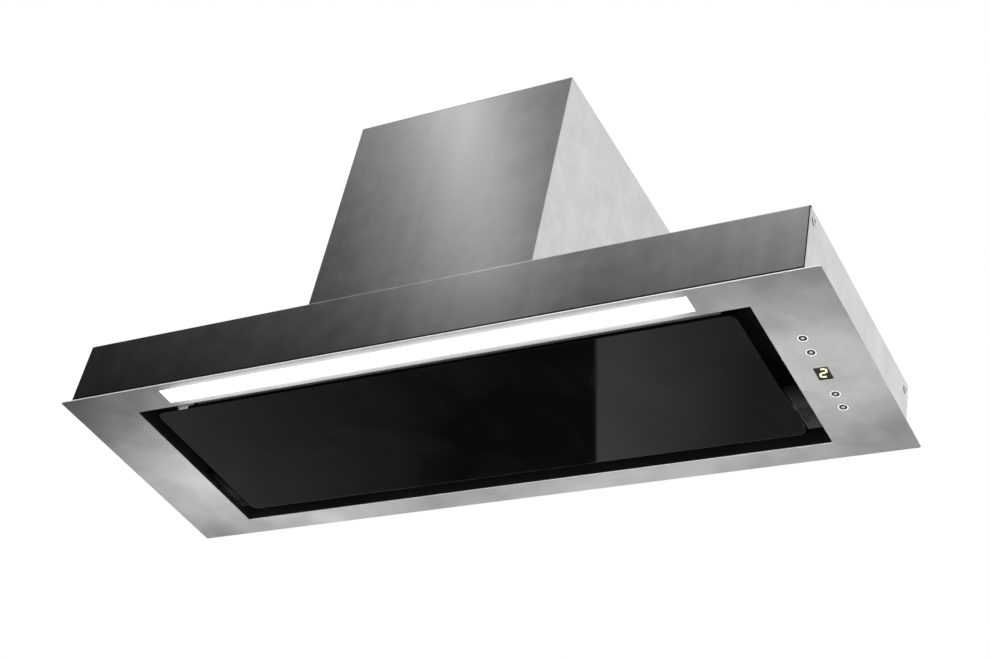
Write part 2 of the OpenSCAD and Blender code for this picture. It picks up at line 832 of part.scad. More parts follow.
// Three-armed bracket that carries the motor on the scroll
module motor_bracket() {
  x0 = -scroll_w / 2 - motor_out - bracket_t;
  color("gray") difference() {
    union() {
      rod_x([x0, axis_y, axis_z], bracket_hub_r, bracket_t);
      for (n = [0 : arm_count - 1]) translate([x0, axis_y, axis_z])
        rotate([n * 360 / arm_count, 0, 0]) {
          translate([0, -bracket_arm_w / 2, 0])
            cube([bracket_t, bracket_arm_w, bracket_arm_r - grommet_r]);
          rod_x([0, 0, bracket_arm_r - grommet_r], bracket_arm_w / 2, bracket_t);
        }
    }
    rod_x([x0 - cut, axis_y, axis_z], motor_boss_r + screw_gap, bracket_t + 2 * cut);
    at_bracket_hub() rod_x([-bracket_t - cut, 0, 0], screw_r + screw_gap, bracket_t + 2 * cut);
    at_bracket_ends() rod_x([-motor_out - bracket_t - cut, 0, 0], screw_r + screw_gap,
      bracket_t + 2 * cut);
  }
}

// Rubber grommets between the bracket's arms and the scroll
module motor_grommets() {
  color("black") at_bracket_ends() difference() {
    rod_x([-motor_out, 0, 0], grommet_r, motor_out);
    rod_x([-motor_out - cut, 0, 0], screw_r + screw_gap, motor_out + 2 * cut);
  }
}

// Screws of the motor bracket
module motor_screws() {
  long_l = motor_out + bracket_t + sheet_t + cut;
  color("gray") {
    at_bracket_hub() translate([-bracket_t, 0, 0]) rotate([0, -90, 0]) pan_screw();
    at_bracket_ends() translate([-motor_out - bracket_t, 0, 0]) rotate([0, -90, 0])
      pan_screw(long_l);
  }
}

// Run capacitor of the motor
module capacitor() {
  color("white") translate([capacitor_x, capacitor_y, capacitor_z]) {
    cylinder(r = cap_can_r, h = cap_can_l);
    translate([0, 0, -cap_neck_h]) cylinder(r = cap_neck_r, h = cap_neck_h + cut);
  }
}

// Clip that holds the capacitor to the housing's right wall
module capacitor_clip() {
  z = (cap_can_l - clip_h) / 2;
  wall = house_x - sheet_t - capacitor_x;
  color("gainsboro") translate([capacitor_x, capacitor_y, capacitor_z + z]) {
    difference() {
      cylinder(r = cap_can_r + clip_t, h = clip_h);
      translate([0, 0, -cut]) cylinder(r = cap_can_r, h = clip_h + 2 * cut);
      translate([-cap_can_r - cut - clip_t, -cap_can_r / 2, -cut])
        cube([cap_can_r, cap_can_r, clip_h + 2 * cut]);
    }
    for (side = [-1, 1]) translate([0, side * (cap_can_r + clip_t / 2), 0])
      translate([0, -clip_t / 2, 0]) cube([wall, clip_t, clip_h]);
  }
}

// Power box on the housing's right wall, open towards the middle, and its lid
module power_box() {
  x1 = house_x - sheet_t;
  color("whitesmoke") difference() {
    span([x1 - power_d, x1], [power_y - power_w / 2, power_y + power_w / 2],
      [power_z, power_z + power_h]);
    span([x1 - power_d - cut, x1 - power_wall],
      [power_y - power_w / 2 + power_wall, power_y + power_w / 2 - power_wall],
      [power_z + power_wall, power_z + power_h - power_wall]);
  }
}
module power_box_lid() {
  x1 = house_x - sheet_t - power_d;
  fit = power_wall + slide_gap;
  color("whitesmoke") {
    span([x1 - power_wall, x1], [power_y - power_w / 2, power_y + power_w / 2],
      [power_z, power_z + power_h]);
    difference() {
      span([x1 - cut, x1 + 2 * power_wall],
        [power_y - power_w / 2 + fit, power_y + power_w / 2 - fit],
        [power_z + fit, power_z + power_h - fit]);
      span([x1 - 2 * cut, x1 + 2 * power_wall + cut],
        [power_y - power_w / 2 + fit + power_wall, power_y + power_w / 2 - fit - power_wall],
        [power_z + fit + power_wall, power_z + power_h - fit - power_wall]);
    }
  }
}

// Power board with its transformer, relays and terminal block
module power_board() {
  x1 = house_x - sheet_t - 2 * power_wall;
  y0 = power_y - power_w / 2 + 2 * power_wall;
  z0 = power_z + 2 * power_wall;
  w = power_w - 4 * power_wall;
  h = power_h - 4 * power_wall;
  color("darkgreen") {
    span([x1 - board_t, x1], [y0, y0 + w], [z0, z0 + h]);
    for (share = power_post_shares) span([x1 - cut, house_x - sheet_t - power_wall],
      [y0 + share * w, y0 + share * w + board_t], [z0 + h / 2, z0 + h / 2 + board_t]);
    span([x1 - transformer_h, x1], along(y0, w, transformer_y_shares), along(z0, h, transformer_z_shares));
    for (shares = relay_y_shares)
      span([x1 - relay_h, x1], along(y0, w, shares), along(z0, h, relay_z_shares));
    span([x1 - terminal_h, x1], along(y0, w, terminal_y_shares), along(z0, h, terminal_z_shares));
  }
}

// Edges of the filters
filter_y0 = open_front + filter_front;
filter_y1 = open_back - filter_rear;
filter_x0 = filter_gap / 2;
filter_x1 = open_x - filter_side;
filter_w = filter_x1 - filter_x0;
filter_d = filter_y1 - filter_y0;
filter_z0 = deck_z - filter_t;
latch_x = (filter_x0 + filter_x1) / 2;

// Inner tray: a skirt round the suction opening, and the deck that the filters close
module filter_deck() {
  color("dimgray") difference() {
    union() {
      span([-open_x - sheet_t, open_x + sheet_t], [open_front - sheet_t, open_back + sheet_t],
        [plate_t, deck_z + sheet_t]);
      span([-open_x - sheet_t - deck_flange_w, open_x + sheet_t + deck_flange_w],
        [open_front - sheet_t - deck_flange_w, open_back + sheet_t + deck_flange_w],
        [plate_t, plate_t + sheet_t]);
    }
    span([-open_x, open_x], [open_front, open_back], [-cut, deck_z]);
    for (side = [-1, 1])
      span(side < 0 ? [-filter_x1 + frame_w, -filter_x0 - frame_w]
                    : [filter_x0 + frame_w, filter_x1 - frame_w],
        [filter_y0 + frame_w, filter_y1 - frame_w], [deck_z - cut, deck_z + sheet_t + cut]);
  }
}

// Rails, keepers and the middle bar that hold the filters under the deck
module filter_divider() {
  bar_half = filter_x0 - filter_seam;
  rail_y = filter_y1 + slide_gap;
  lip_z = filter_z0 - slide_gap - sheet_t;
  keeper_y = filter_y0 - keeper_gap - sheet_t;
  keeper_z = filter_z0 - slide_gap - latch_t - slide_gap - sheet_t;
  color("darkgray") {
    difference() {
      span([-bar_half, bar_half], [filter_y0, filter_y1], [filter_z0, deck_z]);
      span([-bar_half + divider_t, bar_half - divider_t], [filter_y0 + divider_t, filter_y1 - divider_t],
        [filter_z0 + divider_t, deck_z + cut]);
    }
    for (side = [-1, 1]) {
      span(side < 0 ? [-filter_x1, -filter_x0] : [filter_x0, filter_x1],
        [rail_y, rail_y + sheet_t], [lip_z, deck_z]);
      span(side < 0 ? [-filter_x1, -filter_x0] : [filter_x0, filter_x1],
        [rail_y - rail_lip, rail_y + sheet_t], [lip_z, lip_z + sheet_t]);
      span([side * latch_x - keeper_w / 2, side * latch_x + keeper_w / 2],
        [keeper_y, keeper_y + sheet_t], [keeper_z, deck_z]);
      span([side * latch_x - keeper_w / 2, side * latch_x + keeper_w / 2],
        [keeper_y, keeper_y + sheet_t + keeper_lip], [keeper_z, keeper_z + sheet_t]);
    }
  }
}

// Frame of one grease filter with the guides of its latch, side is -1 on the left
module filter_frame(side) {
  guide_x = latch_w / 2 + slide_gap;
  guide_z = filter_z0 - latch_t - 2 * slide_gap;
  color("silver") translate([side * latch_x, 0, 0]) {
    difference() {
      span([-filter_w / 2, filter_w / 2], [filter_y0, filter_y1], [filter_z0, deck_z]);
      span([-filter_w / 2 + frame_w, filter_w / 2 - frame_w],
        [filter_y0 + frame_w, filter_y1 - frame_w], [filter_z0 - cut, deck_z + cut]);
      span([-filter_w / 2 + frame_t, filter_w / 2 - frame_t],
        [filter_y0 + frame_t, filter_y1 - frame_t], [filter_z0 + frame_t, deck_z - frame_t]);
    }
    for (end = [-1, 1]) {
      span(end < 0 ? [-guide_x - frame_t, -guide_x] : [guide_x, guide_x + frame_t],
        [filter_y0 + frame_t, filter_y0 + frame_w], [guide_z - frame_t, filter_z0]);
      span(end < 0 ? [-guide_x - frame_t, -guide_x + 2 * frame_t]
                   : [guide_x - 2 * frame_t, guide_x + frame_t],
        [filter_y0 + frame_t, filter_y0 + frame_w], [guide_z - frame_t, guide_z]);
    }
  }
}
module filter_frame_left() { filter_frame(-1); }
module filter_frame_right() { filter_frame(1); }

// Pleated metal mesh of one grease filter, caught in its frame
module filter_mesh(side) {
  catch_w = frame_w - 2 * frame_t;
  y0 = filter_y0 + frame_w - catch_w;
  pleats = floor((filter_d - 2 * (frame_w - catch_w)) / mesh_pitch);
  pitch = (filter_d - 2 * (frame_w - catch_w)) / pleats;
  z0 = filter_z0 + frame_t + slide_gap;
  z1 = deck_z - frame_t - slide_gap;
  color("lightgray") translate([side * latch_x - filter_w / 2 + frame_w - catch_w, 0, 0])
    rotate([90, 0, 90]) linear_extrude(filter_w - 2 * (frame_w - catch_w))
      polygon(concat(
        [for (n = [0 : 2 * pleats]) [y0 + n * pitch / 2, n % 2 == 0 ? z0 + mesh_t : z1]],
        [for (n = [2 * pleats : -1 : 0]) [y0 + n * pitch / 2, n % 2 == 0 ? z0 : z1 - mesh_t]]));
}
module filter_mesh_left() { filter_mesh(-1); }
module filter_mesh_right() { filter_mesh(1); }

// Sliding latch of one filter with its finger tab
module filter_latch(side) {
  z1 = filter_z0 - slide_gap;
  y0 = filter_y0 - latch_reach;
  color("gray") translate([side * latch_x, 0, 0]) {
    span([-latch_w / 2, latch_w / 2], [y0, filter_y0 + latch_d], [z1 - latch_t, z1]);
    span([-latch_w / 4, latch_w / 4], [filter_y0 + latch_d - latch_t, filter_y0 + latch_d],
      [z1 - latch_t - latch_tab_h, z1 - latch_t + cut]);
  }
}
module filter_latch_left() { filter_latch(-1); }
module filter_latch_right() { filter_latch(1); }

// Edges of the glass panel
glass_x = open_x - gap_side;
glass_y0 = open_front + gap_front;
glass_y1 = open_back - gap_rear;
glass_z1 = glass_rise + glass_t;
carrier_x = glass_x - carrier_inset;
carrier_y0 = glass_y0 + carrier_inset;
carrier_y1 = glass_y1 - carrier_inset;
carrier_z0 = glass_z1 + tape_t;
rim_z = carrier_z0 + carrier_rim;
hinge_y = glass_y1 - hinge_back;
catch_y0 = glass_y0 + catch_back;
strike_z = carrier_z0 + carrier_t;
magnet_z = strike_z + strike_t + slide_gap;

// Black glass of the suction panel
module glass_panel() {
  color("black") translate([0, (glass_y0 + glass_y1) / 2, glass_rise])
    linear_extrude(glass_t) round_rect(2 * glass_x, glass_y1 - glass_y0, glass_corner_r);
}

// Bonding tape between the glass and its carrier
module panel_tape() {
  color("dimgray") difference() {
    span([-carrier_x, carrier_x], [carrier_y0, carrier_y1], [glass_z1, carrier_z0]);
    span([-carrier_x + tape_w, carrier_x - tape_w], [carrier_y0 + tape_w, carrier_y1 - tape_w],
      [glass_z1 - cut, carrier_z0 + cut]);
  }
}

// Steel carrier of the glass with folded rims and two hinge ears
module panel_carrier() {
  rear_half = hinge_x - rear_rim_short;
  color("gray") difference() {
    union() {
      span([-carrier_x, carrier_x], [carrier_y0, carrier_y1], [carrier_z0, carrier_z0 + carrier_t]);
      span([-carrier_x, carrier_x], [carrier_y0, carrier_y0 + carrier_t], [carrier_z0, rim_z]);
      for (side = [-1, 1])
        span(side < 0 ? [-carrier_x, -carrier_x + carrier_t] : [carrier_x - carrier_t, carrier_x],
          [carrier_y0, hinge_y - rear_rim_short], [carrier_z0, rim_z]);
      span([-rear_half, rear_half], [carrier_y1 - carrier_t, carrier_y1], [carrier_z0, rim_z]);
      for (side = [-1, 1]) {
        span([side * hinge_x - ear_t / 2, side * hinge_x + ear_t / 2],
          [hinge_y - ear_r, hinge_y + ear_r], [carrier_z0 + carrier_t / 2, hinge_z]);
        rod_x([side * hinge_x - ear_t / 2, hinge_y, hinge_z], ear_r, ear_t);
      }
    }
    for (side = [-1, 1])
      rod_x([side * hinge_x - 2 * ear_t, hinge_y, hinge_z], hinge_pin_r + run_gap, 4 * ear_t);
  }
}

// Strike plates on the carrier, which the magnets hold
module panel_strikes() {
  color("silver") catch_plate(strike_z, strike_t);
}

// Plate of both catches, from a level up
module catch_plate(z, thick) {
  for (side = [-1, 1])
    span([side * hinge_x - catch_w / 2, side * hinge_x + catch_w / 2],
      [catch_y0, catch_y0 + catch_d], [z, z + thick]);
}

// Magnets of the panel's catches
module catch_magnets() {
  color("dimgray") catch_plate(magnet_z, magnet_t);
}

// Folded brackets that hang from the deck and carry the magnets
module catch_brackets() {
  color("silver") {
    catch_plate(magnet_z + magnet_t, sheet_t);
    catch_plate(deck_z - sheet_t, sheet_t);
    for (side = [-1, 1])
      span([side * hinge_x - catch_w / 2, side * hinge_x + catch_w / 2],
        [catch_y0, catch_y0 + sheet_t], [magnet_z + magnet_t, deck_z]);
  }
}

// Bright clip on the front of the left catch bracket, which shows in the gap before the glass
module panel_clip() {
  color("white") span([-hinge_x - panel_clip_w / 2, -hinge_x + panel_clip_w / 2],
    [catch_y0 - panel_clip_t, catch_y0], [magnet_z + magnet_t, deck_z - slide_gap]);
}

// Brackets under the deck that carry the panel's hinge pins, each with a leaf beside the glass
bracket_x = hinge_x + ear_t / 2 + slide_gap;
module hinge_brackets() {
  leaf_x = glass_x + leaf_gap;
  leaf_y = [hinge_y + bracket_r - leaf_l, hinge_y + bracket_r];
  color("gray") for (side = [-1, 1]) difference() {
    union() {
      rod_x([side < 0 ? -bracket_x - ear_t : bracket_x, hinge_y, hinge_z], bracket_r, ear_t);
      span(side < 0 ? [-bracket_x - ear_t, -bracket_x] : [bracket_x, bracket_x + ear_t],
        [hinge_y - bracket_r, hinge_y + bracket_r], [hinge_z, deck_z]);
      span(side < 0 ? [-open_x, -bracket_x] : [bracket_x, open_x],
        [hinge_y - bracket_r, hinge_y + bracket_r], [deck_z - ear_t, deck_z]);
      span(side < 0 ? [-open_x, -open_x + ear_t] : [open_x - ear_t, open_x], leaf_y,
        [leaf_z, deck_z]);
      span(side < 0 ? [-open_x, -leaf_x] : [leaf_x, open_x], leaf_y, [leaf_z, leaf_z + ear_t]);
    }
    rod_x([side < 0 ? -bracket_x - 2 * ear_t : bracket_x - ear_t, hinge_y, hinge_z],
      hinge_pin_r, 3 * ear_t);
  }
}

// Hinge pins, pressed into the brackets
module hinge_pins() {
  l = 2 * ear_t + 2 * slide_gap;
  head = hinge_pin_head_t;
  color("silver") for (side = [-1, 1]) {
    rod_x([side < 0 ? -bracket_x - ear_t : bracket_x + ear_t - l, hinge_y, hinge_z],
      hinge_pin_r, l);
    rod_x([side < 0 ? -bracket_x - ear_t - head : bracket_x + ear_t, hinge_y, hinge_z],
      hinge_pin_head_r, head);
  }
}

// Edges of the light strip
led_y0 = plate_front + led_front;
led_y1 = led_y0 + led_d;
profile_z1 = plate_t + profile_h;

// Aluminium channel over the light slot
module led_profile() {
  color("silver") difference() {
    span([-led_x, led_x], [led_y0 - profile_t, led_y1 + profile_t], [plate_t, profile_z1]);
    span([-led_x - cut, led_x + cut], [led_y0, led_y1], [plate_t - cut, profile_z1 - profile_t]);
  }
}

// Light board under the channel's web, with its row of chips
module led_board() {
  z1 = profile_z1 - profile_t;
  count = floor(2 * led_x / led_chip_pitch);
  mid = (led_y0 + led_y1) / 2;
  half_d = led_d / 2 - profile_t;
  color("white") {
    span([-led_x, led_x], [mid - half_d, mid + half_d], [z1 - led_board_t, z1]);
    for (n = [0 : count - 1]) {
      x = (n - (count - 1) / 2) * led_chip_pitch;
      span([x - led_chip / 2, x + led_chip / 2], [mid - led_chip / 2, mid + led_chip / 2],
        [z1 - led_board_t - led_chip_t, z1 - led_board_t]);
    }
  }
}

// End caps of the channel
module led_end_caps() {
  color("gainsboro") for (side = [-1, 1])
    span(side < 0 ? [-led_x - end_cap_t, -led_x] : [led_x, led_x + end_cap_t],
      [led_y0 - profile_t, led_y1 + profile_t], [plate_t, profile_z1]);
}

// Opal diffuser, flush with the face plate
module led_diffuser() {
  color("white") span([-led_x + diffuser_gap, led_x - diffuser_gap],
    [led_y0 + diffuser_gap, led_y1 - diffuser_gap], [0, diffuser_t]);
}

// Light's driver on the face plate left of the deck, with a screw ear at each end
module led_driver() {
  x = -wall_x + flange_w + driver_side + driver_w / 2;
  y = driver_back;
  color("whitesmoke") {
    translate([x, y - driver_l / 2, plate_t + driver_h / 2]) rotate([-90, 0, 0])
      linear_extrude(driver_l) round_rect(driver_w, driver_h, driver_r);
    difference() {
      span([x - driver_w / 2, x + driver_w / 2],
        [y - driver_l / 2 - driver_ear, y + driver_l / 2 + driver_ear],
        [plate_t, plate_t + driver_ear_t]);
      for (end = [-1, 1]) translate([x, y + end * (driver_l + driver_ear) / 2, plate_t])
        cylinder(r = screw_r, h = 4 * driver_ear_t, center = true);
    }
  }
}

// Levels of the controls
board_z = plate_t + box_h - 2 * box_wall - board_t;
cap_top_z = board_z - switch_h - switch_tip_h - button_travel - switch_gap;
box_half_d = button_first + button_pitch + box_end;

// Plastic box over the controls, which presses the bezels onto the plate
module control_box() {
  color("dimgray") difference() {
    span([control_x - box_half_w, control_x + box_half_w],
      [control_y - box_half_d, control_y + box_half_d], [plate_t, plate_t + box_h]);
    span([control_x - box_half_w + box_wall, control_x + box_half_w - box_wall],
      [control_y - box_half_d + box_wall, control_y + box_half_d - box_wall],
      [board_z, plate_t + box_h + cut]);
    span([control_x - box_half_w + 2 * box_wall, control_x + box_half_w - 2 * box_wall],
      [control_y - box_half_d + 2 * box_wall, control_y + box_half_d - 2 * box_wall],
      [plate_t + box_wall, plate_t + box_h + cut]);
    for (n = [0 : 3]) translate([control_x, button_y(n), plate_t - cut])
      cylinder(r = bezel_flange_r + run_gap, h = box_wall + 2 * cut);
    translate([control_x, control_y, plate_t])
      cube([display_w + 2 * module_rim + slide_gap, display_h + 2 * module_rim + slide_gap,
        4 * box_wall], center = true);
  }
}

// Control board with one switch over each button
module control_board() {
  half_w = box_half_w - box_wall - slide_gap;
  half_d = box_half_d - box_wall - slide_gap;
  color("darkgreen") {
    span([control_x - half_w, control_x + half_w], [control_y - half_d, control_y + half_d],
      [board_z, board_z + board_t]);
    for (n = [0 : 3]) translate([control_x, button_y(n), 0]) {
      span([-switch_w / 2, switch_w / 2], [-switch_w / 2, switch_w / 2],
        [board_z - switch_h, board_z]);
      translate([0, 0, board_z - switch_h - switch_tip_h])
        cylinder(r = switch_tip_r, h = switch_tip_h + cut);
    }
  }
}

// Display module behind the window, on four legs from the board
module display_module() {
  half_w = display_w / 2 + module_rim;
  half_d = display_h / 2 + module_rim;
  z0 = plate_t + digit_t;
  leg = board_t / 2;
  color("black") {
    span([control_x - half_w, control_x + half_w], [control_y - half_d, control_y + half_d],
      [z0, z0 + module_h]);
    for (x = [-1, 1], y = [-1, 1])
      translate([control_x + x * half_w * module_leg_share,
        control_y + y * half_d * module_leg_share, z0 + module_h - cut])
        cylinder(r = leg, h = board_z - z0 - module_h + cut);
  }
}

// One lit segment, leaning as the digit does
module segment(x, y) {
  polygon([[x[0] - digit_slant * y[0], y[0]], [x[1] - digit_slant * y[0], y[0]],
    [x[1] - digit_slant * y[1], y[1]], [x[0] - digit_slant * y[1], y[1]]]);
}

// Lit segments of the digit 2, read from below with its top towards the front
module display_digit() {
  half_w = digit_w / 2;
  half_h = digit_h / 2;
  bar_x = half_w - segment_w - segment_gap;
  color("lightyellow") translate([control_x, control_y, plate_t]) linear_extrude(digit_t) {
    for (y = [-half_h + segment_w / 2, 0, half_h - segment_w / 2])
      segment([-bar_x, bar_x], [y - segment_w / 2, y + segment_w / 2]);
    segment([half_w - segment_w, half_w], [-half_h + segment_w / 2 + segment_gap, -segment_gap]);
    segment([-half_w, -half_w + segment_w], [segment_gap, half_h - segment_w / 2 - segment_gap]);
  }
}

// Smoked window over the display
module display_window() {
  half_w = display_w / 2 - window_gap;
  half_d = display_h / 2 - window_gap;
  color("olive", 0.5) span([control_x - half_w, control_x + half_w],
    [control_y - half_d, control_y + half_d], [0, plate_t]);
}

// Bright bezels round the buttons, dished at the front and flanged behind the plate
module button_bezels() {
  color("gainsboro") for (n = [0 : 3]) translate([control_x, button_y(n), 0]) difference() {
    union() {
      cylinder(r = bezel_r, h = plate_t + join);
      translate([0, 0, plate_t]) cylinder(r = bezel_flange_r, h = bezel_flange_t);
      translate([0, 0, plate_t]) cylinder(r = bezel_barrel_r, h = bezel_h - plate_t);
    }
    translate([0, 0, -cut]) cylinder(r = cap_r + run_gap, h = bezel_h + 2 * cut);
    cylinder(r1 = cap_r + bezel_dish_w, r2 = cap_r + run_gap, h = bezel_dish);
  }
}

// Button cap with a raised dot, a shoulder behind its bezel and a stem to its switch
module button_cap(n) {
  color("dimgray") translate([control_x, button_y(n), 0]) {
    difference() {
      translate([0, 0, cap_recess]) cylinder(r = cap_r, h = bezel_h + slide_gap);
      translate([0, 0, cap_recess - cut]) difference() {
        cylinder(r = cap_r - cap_dot_h, h = cut + cap_dot_h);
        cylinder(r = cap_dot_r, h = cut + 2 * cap_dot_h);
      }
    }
    translate([0, 0, bezel_h + slide_gap]) cylinder(r = cap_shoulder_r, h = cap_shoulder_h);
    translate([0, 0, bezel_h + slide_gap]) cylinder(r = cap_stem_r,
      h = cap_top_z - bezel_h - slide_gap);
  }
}
module button_cap_1() { button_cap(0); }
module button_cap_2() { button_cap(1); }
module button_cap_3() { button_cap(2); }
module button_cap_4() { button_cap(3); }

face_plate();
front_panel();
canopy_shell();
canopy_top();
side_fixings();
housing_wrap();
housing_back();
housing_top();
housing_screws();
outlet_collar();
collar_screws();
damper_flap_front();
damper_flap_rear();
cable_gland();
scroll_wrap();
scroll_side_left();
scroll_side_right();
impeller();
motor_shaft();
motor();
motor_bracket();
motor_grommets();
motor_screws();
capacitor();
capacitor_clip();
power_box();
power_box_lid();
power_board();
filter_deck();
filter_divider();
filter_frame_left();
filter_frame_right();
filter_mesh_left();
filter_mesh_right();
filter_latch_left();
filter_latch_right();
glass_panel();
panel_tape();
panel_carrier();
panel_strikes();
catch_brackets();
catch_magnets();
panel_clip();
hinge_brackets();
hinge_pins();
led_profile();
led_board();
led_end_caps();
led_diffuser();
led_driver();
control_box();
control_board();
display_module();
display_digit();
display_window();
button_bezels();
button_cap_1();
button_cap_2();
button_cap_3();
button_cap_4();
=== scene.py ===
# Studio picture of a built-in range hood with a black glass suction panel
import math

import bmesh
import bpy
from mathutils import Euler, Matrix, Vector
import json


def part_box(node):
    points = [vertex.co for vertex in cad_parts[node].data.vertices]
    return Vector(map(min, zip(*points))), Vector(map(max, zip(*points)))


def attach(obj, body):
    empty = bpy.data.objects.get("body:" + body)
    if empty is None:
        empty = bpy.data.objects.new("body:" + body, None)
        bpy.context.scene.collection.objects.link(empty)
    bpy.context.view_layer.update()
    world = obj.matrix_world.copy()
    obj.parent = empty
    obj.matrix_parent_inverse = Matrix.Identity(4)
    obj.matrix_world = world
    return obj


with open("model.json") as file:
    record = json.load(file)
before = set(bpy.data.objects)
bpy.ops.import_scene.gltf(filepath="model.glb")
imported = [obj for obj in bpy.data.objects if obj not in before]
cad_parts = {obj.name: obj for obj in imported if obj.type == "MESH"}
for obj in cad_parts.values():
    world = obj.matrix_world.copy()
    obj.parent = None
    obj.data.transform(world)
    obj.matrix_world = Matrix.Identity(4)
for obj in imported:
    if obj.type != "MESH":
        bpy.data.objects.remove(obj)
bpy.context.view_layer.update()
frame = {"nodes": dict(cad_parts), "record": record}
mm = 0.001
buttonNumbers = range(1, 5)
print("frame loaded with", len(frame["nodes"]), "nodes")

# Camera, set from the straight edges of the hood in the photo
cameraLook = {
    "place": (0.94495, -1.29792, -1.05135),
    "turn": (127.0488, -10.3844, 27.9946),
    "lens": 65.45,
    "sensor": 36.0,
    "clip": (0.01, 100.0),
}


def makeCamera(look):
    data = bpy.data.cameras.new("studioCamera")
    data.lens = look["lens"]
    data.sensor_width = look["sensor"]
    data.clip_start, data.clip_end = look["clip"]
    camera = bpy.data.objects.new("studioCamera", data)
    camera.location = look["place"]
    camera.rotation_euler = Euler([math.radians(turn) for turn in look["turn"]])
    bpy.context.scene.collection.objects.link(camera)
    bpy.context.scene.camera = camera


makeCamera(cameraLook)
bpy.context.scene.view_settings.view_transform = "Standard"
print("camera placed")


# Node helpers, where a value is a number, a colour or the output of another node
def setInputs(tree, node, inputs):
    for name, value in inputs.items():
        if isinstance(value, bpy.types.NodeSocket):
            tree.links.new(value, node.inputs[name])
        else:
            node.inputs[name].default_value = value


def addNode(tree, kind, inputs=None, **settings):
    node = tree.nodes.new(kind)
    for name, value in settings.items():
        setattr(node, name, value)
    setInputs(tree, node, inputs or {})
    return node


def calc(tree, operation, a, b=0.0, clamp=False):
    return addNode(tree, "ShaderNodeMath", {0: a, 1: b}, operation=operation, use_clamp=clamp).outputs[0]


def spread(tree, value, low, high, fromLow=0.0, fromHigh=1.0):
    inputs = {"Value": value, "From Min": fromLow, "From Max": fromHigh, "To Min": low, "To Max": high}
    return addNode(tree, "ShaderNodeMapRange", inputs).outputs["Result"]


noiseRange = (0.3, 0.7)  # where most of a noise lies


# A noise spread to both sides of a middle value
def swing(tree, noise, amount, middle=0.0):
    return spread(tree, noise, middle - amount, middle + amount, *noiseRange)


# Soft hump round a middle value
def bell(tree, value, middle, width):
    away = calc(tree, "DIVIDE", calc(tree, "SUBTRACT", value, middle), width)
    return calc(tree, "EXPONENT", calc(tree, "MULTIPLY", calc(tree, "MULTIPLY", away, away), -1.0))


# How far a value lies beyond a span, negative inside it
def beyond(tree, value, low, high):
    offset = calc(tree, "ABSOLUTE", calc(tree, "SUBTRACT", value, (low + high) / 2))
    return calc(tree, "SUBTRACT", offset, (high - low) / 2)


# One value where the share is 1 and another where it is 0
def blendValue(tree, share, one, other):
    rest = calc(tree, "MULTIPLY", other, calc(tree, "SUBTRACT", 1.0, share))
    return calc(tree, "ADD", calc(tree, "MULTIPLY", one, share), rest)


# In the Mix node, inputs 6 and 7 are the colours and output 2 is their blend
def blendColour(tree, factor, first, second, mode="MIX"):
    inputs = {0: factor, 6: first, 7: second}
    for index in (6, 7):
        if not isinstance(inputs[index], bpy.types.NodeSocket):
            inputs[index] = (*inputs[index], 1.0)
    return addNode(tree, "ShaderNodeMix", inputs, data_type="RGBA", blend_type=mode).outputs[2]


def splitVector(tree, vector):
    return addNode(tree, "ShaderNodeSeparateXYZ", {0: vector}).outputs


def addNoise(tree, place, scale, detail, roughness=0.5, distortion=0.0):
    inputs = {"Vector": place, "Scale": scale, "Detail": detail, "Roughness": roughness,
              "Distortion": distortion}
    return addNode(tree, "ShaderNodeTexNoise", inputs).outputs["Fac"]


def addBump(tree, height, strength, depth=0.1 * mm, normal=None):
    bump = addNode(tree, "ShaderNodeBump", {"Strength": strength, "Distance": depth, "Height": height})
    if normal is not None:
        tree.links.new(normal, bump.inputs["Normal"])
    return bump.outputs[0]


def useGroup(tree, group, inputs):
    return addNode(tree, "ShaderNodeGroup", inputs, node_tree=group).outputs


def newGroup(name, inputs, outputs):
    group = bpy.data.node_groups.new(name, "ShaderNodeTree")
    for label, kind, value in inputs:
        socket = group.interface.new_socket(label, in_out="INPUT", socket_type="NodeSocket" + kind)
        socket.default_value = value
    for label, kind in outputs:
        group.interface.new_socket(label, in_out="OUTPUT", socket_type="NodeSocket" + kind)
    return group, group.nodes.new("NodeGroupInput").outputs, group.nodes.new("NodeGroupOutput")


# Limits of a sideways and of an upright face, and the detail and roughness of the noises
grainLook = {"sideways": 0.7, "upright": 0.5, "streak": (3.0, 0.6), "cloud": (4.0, 0.55), "bandDetail": 4.0}


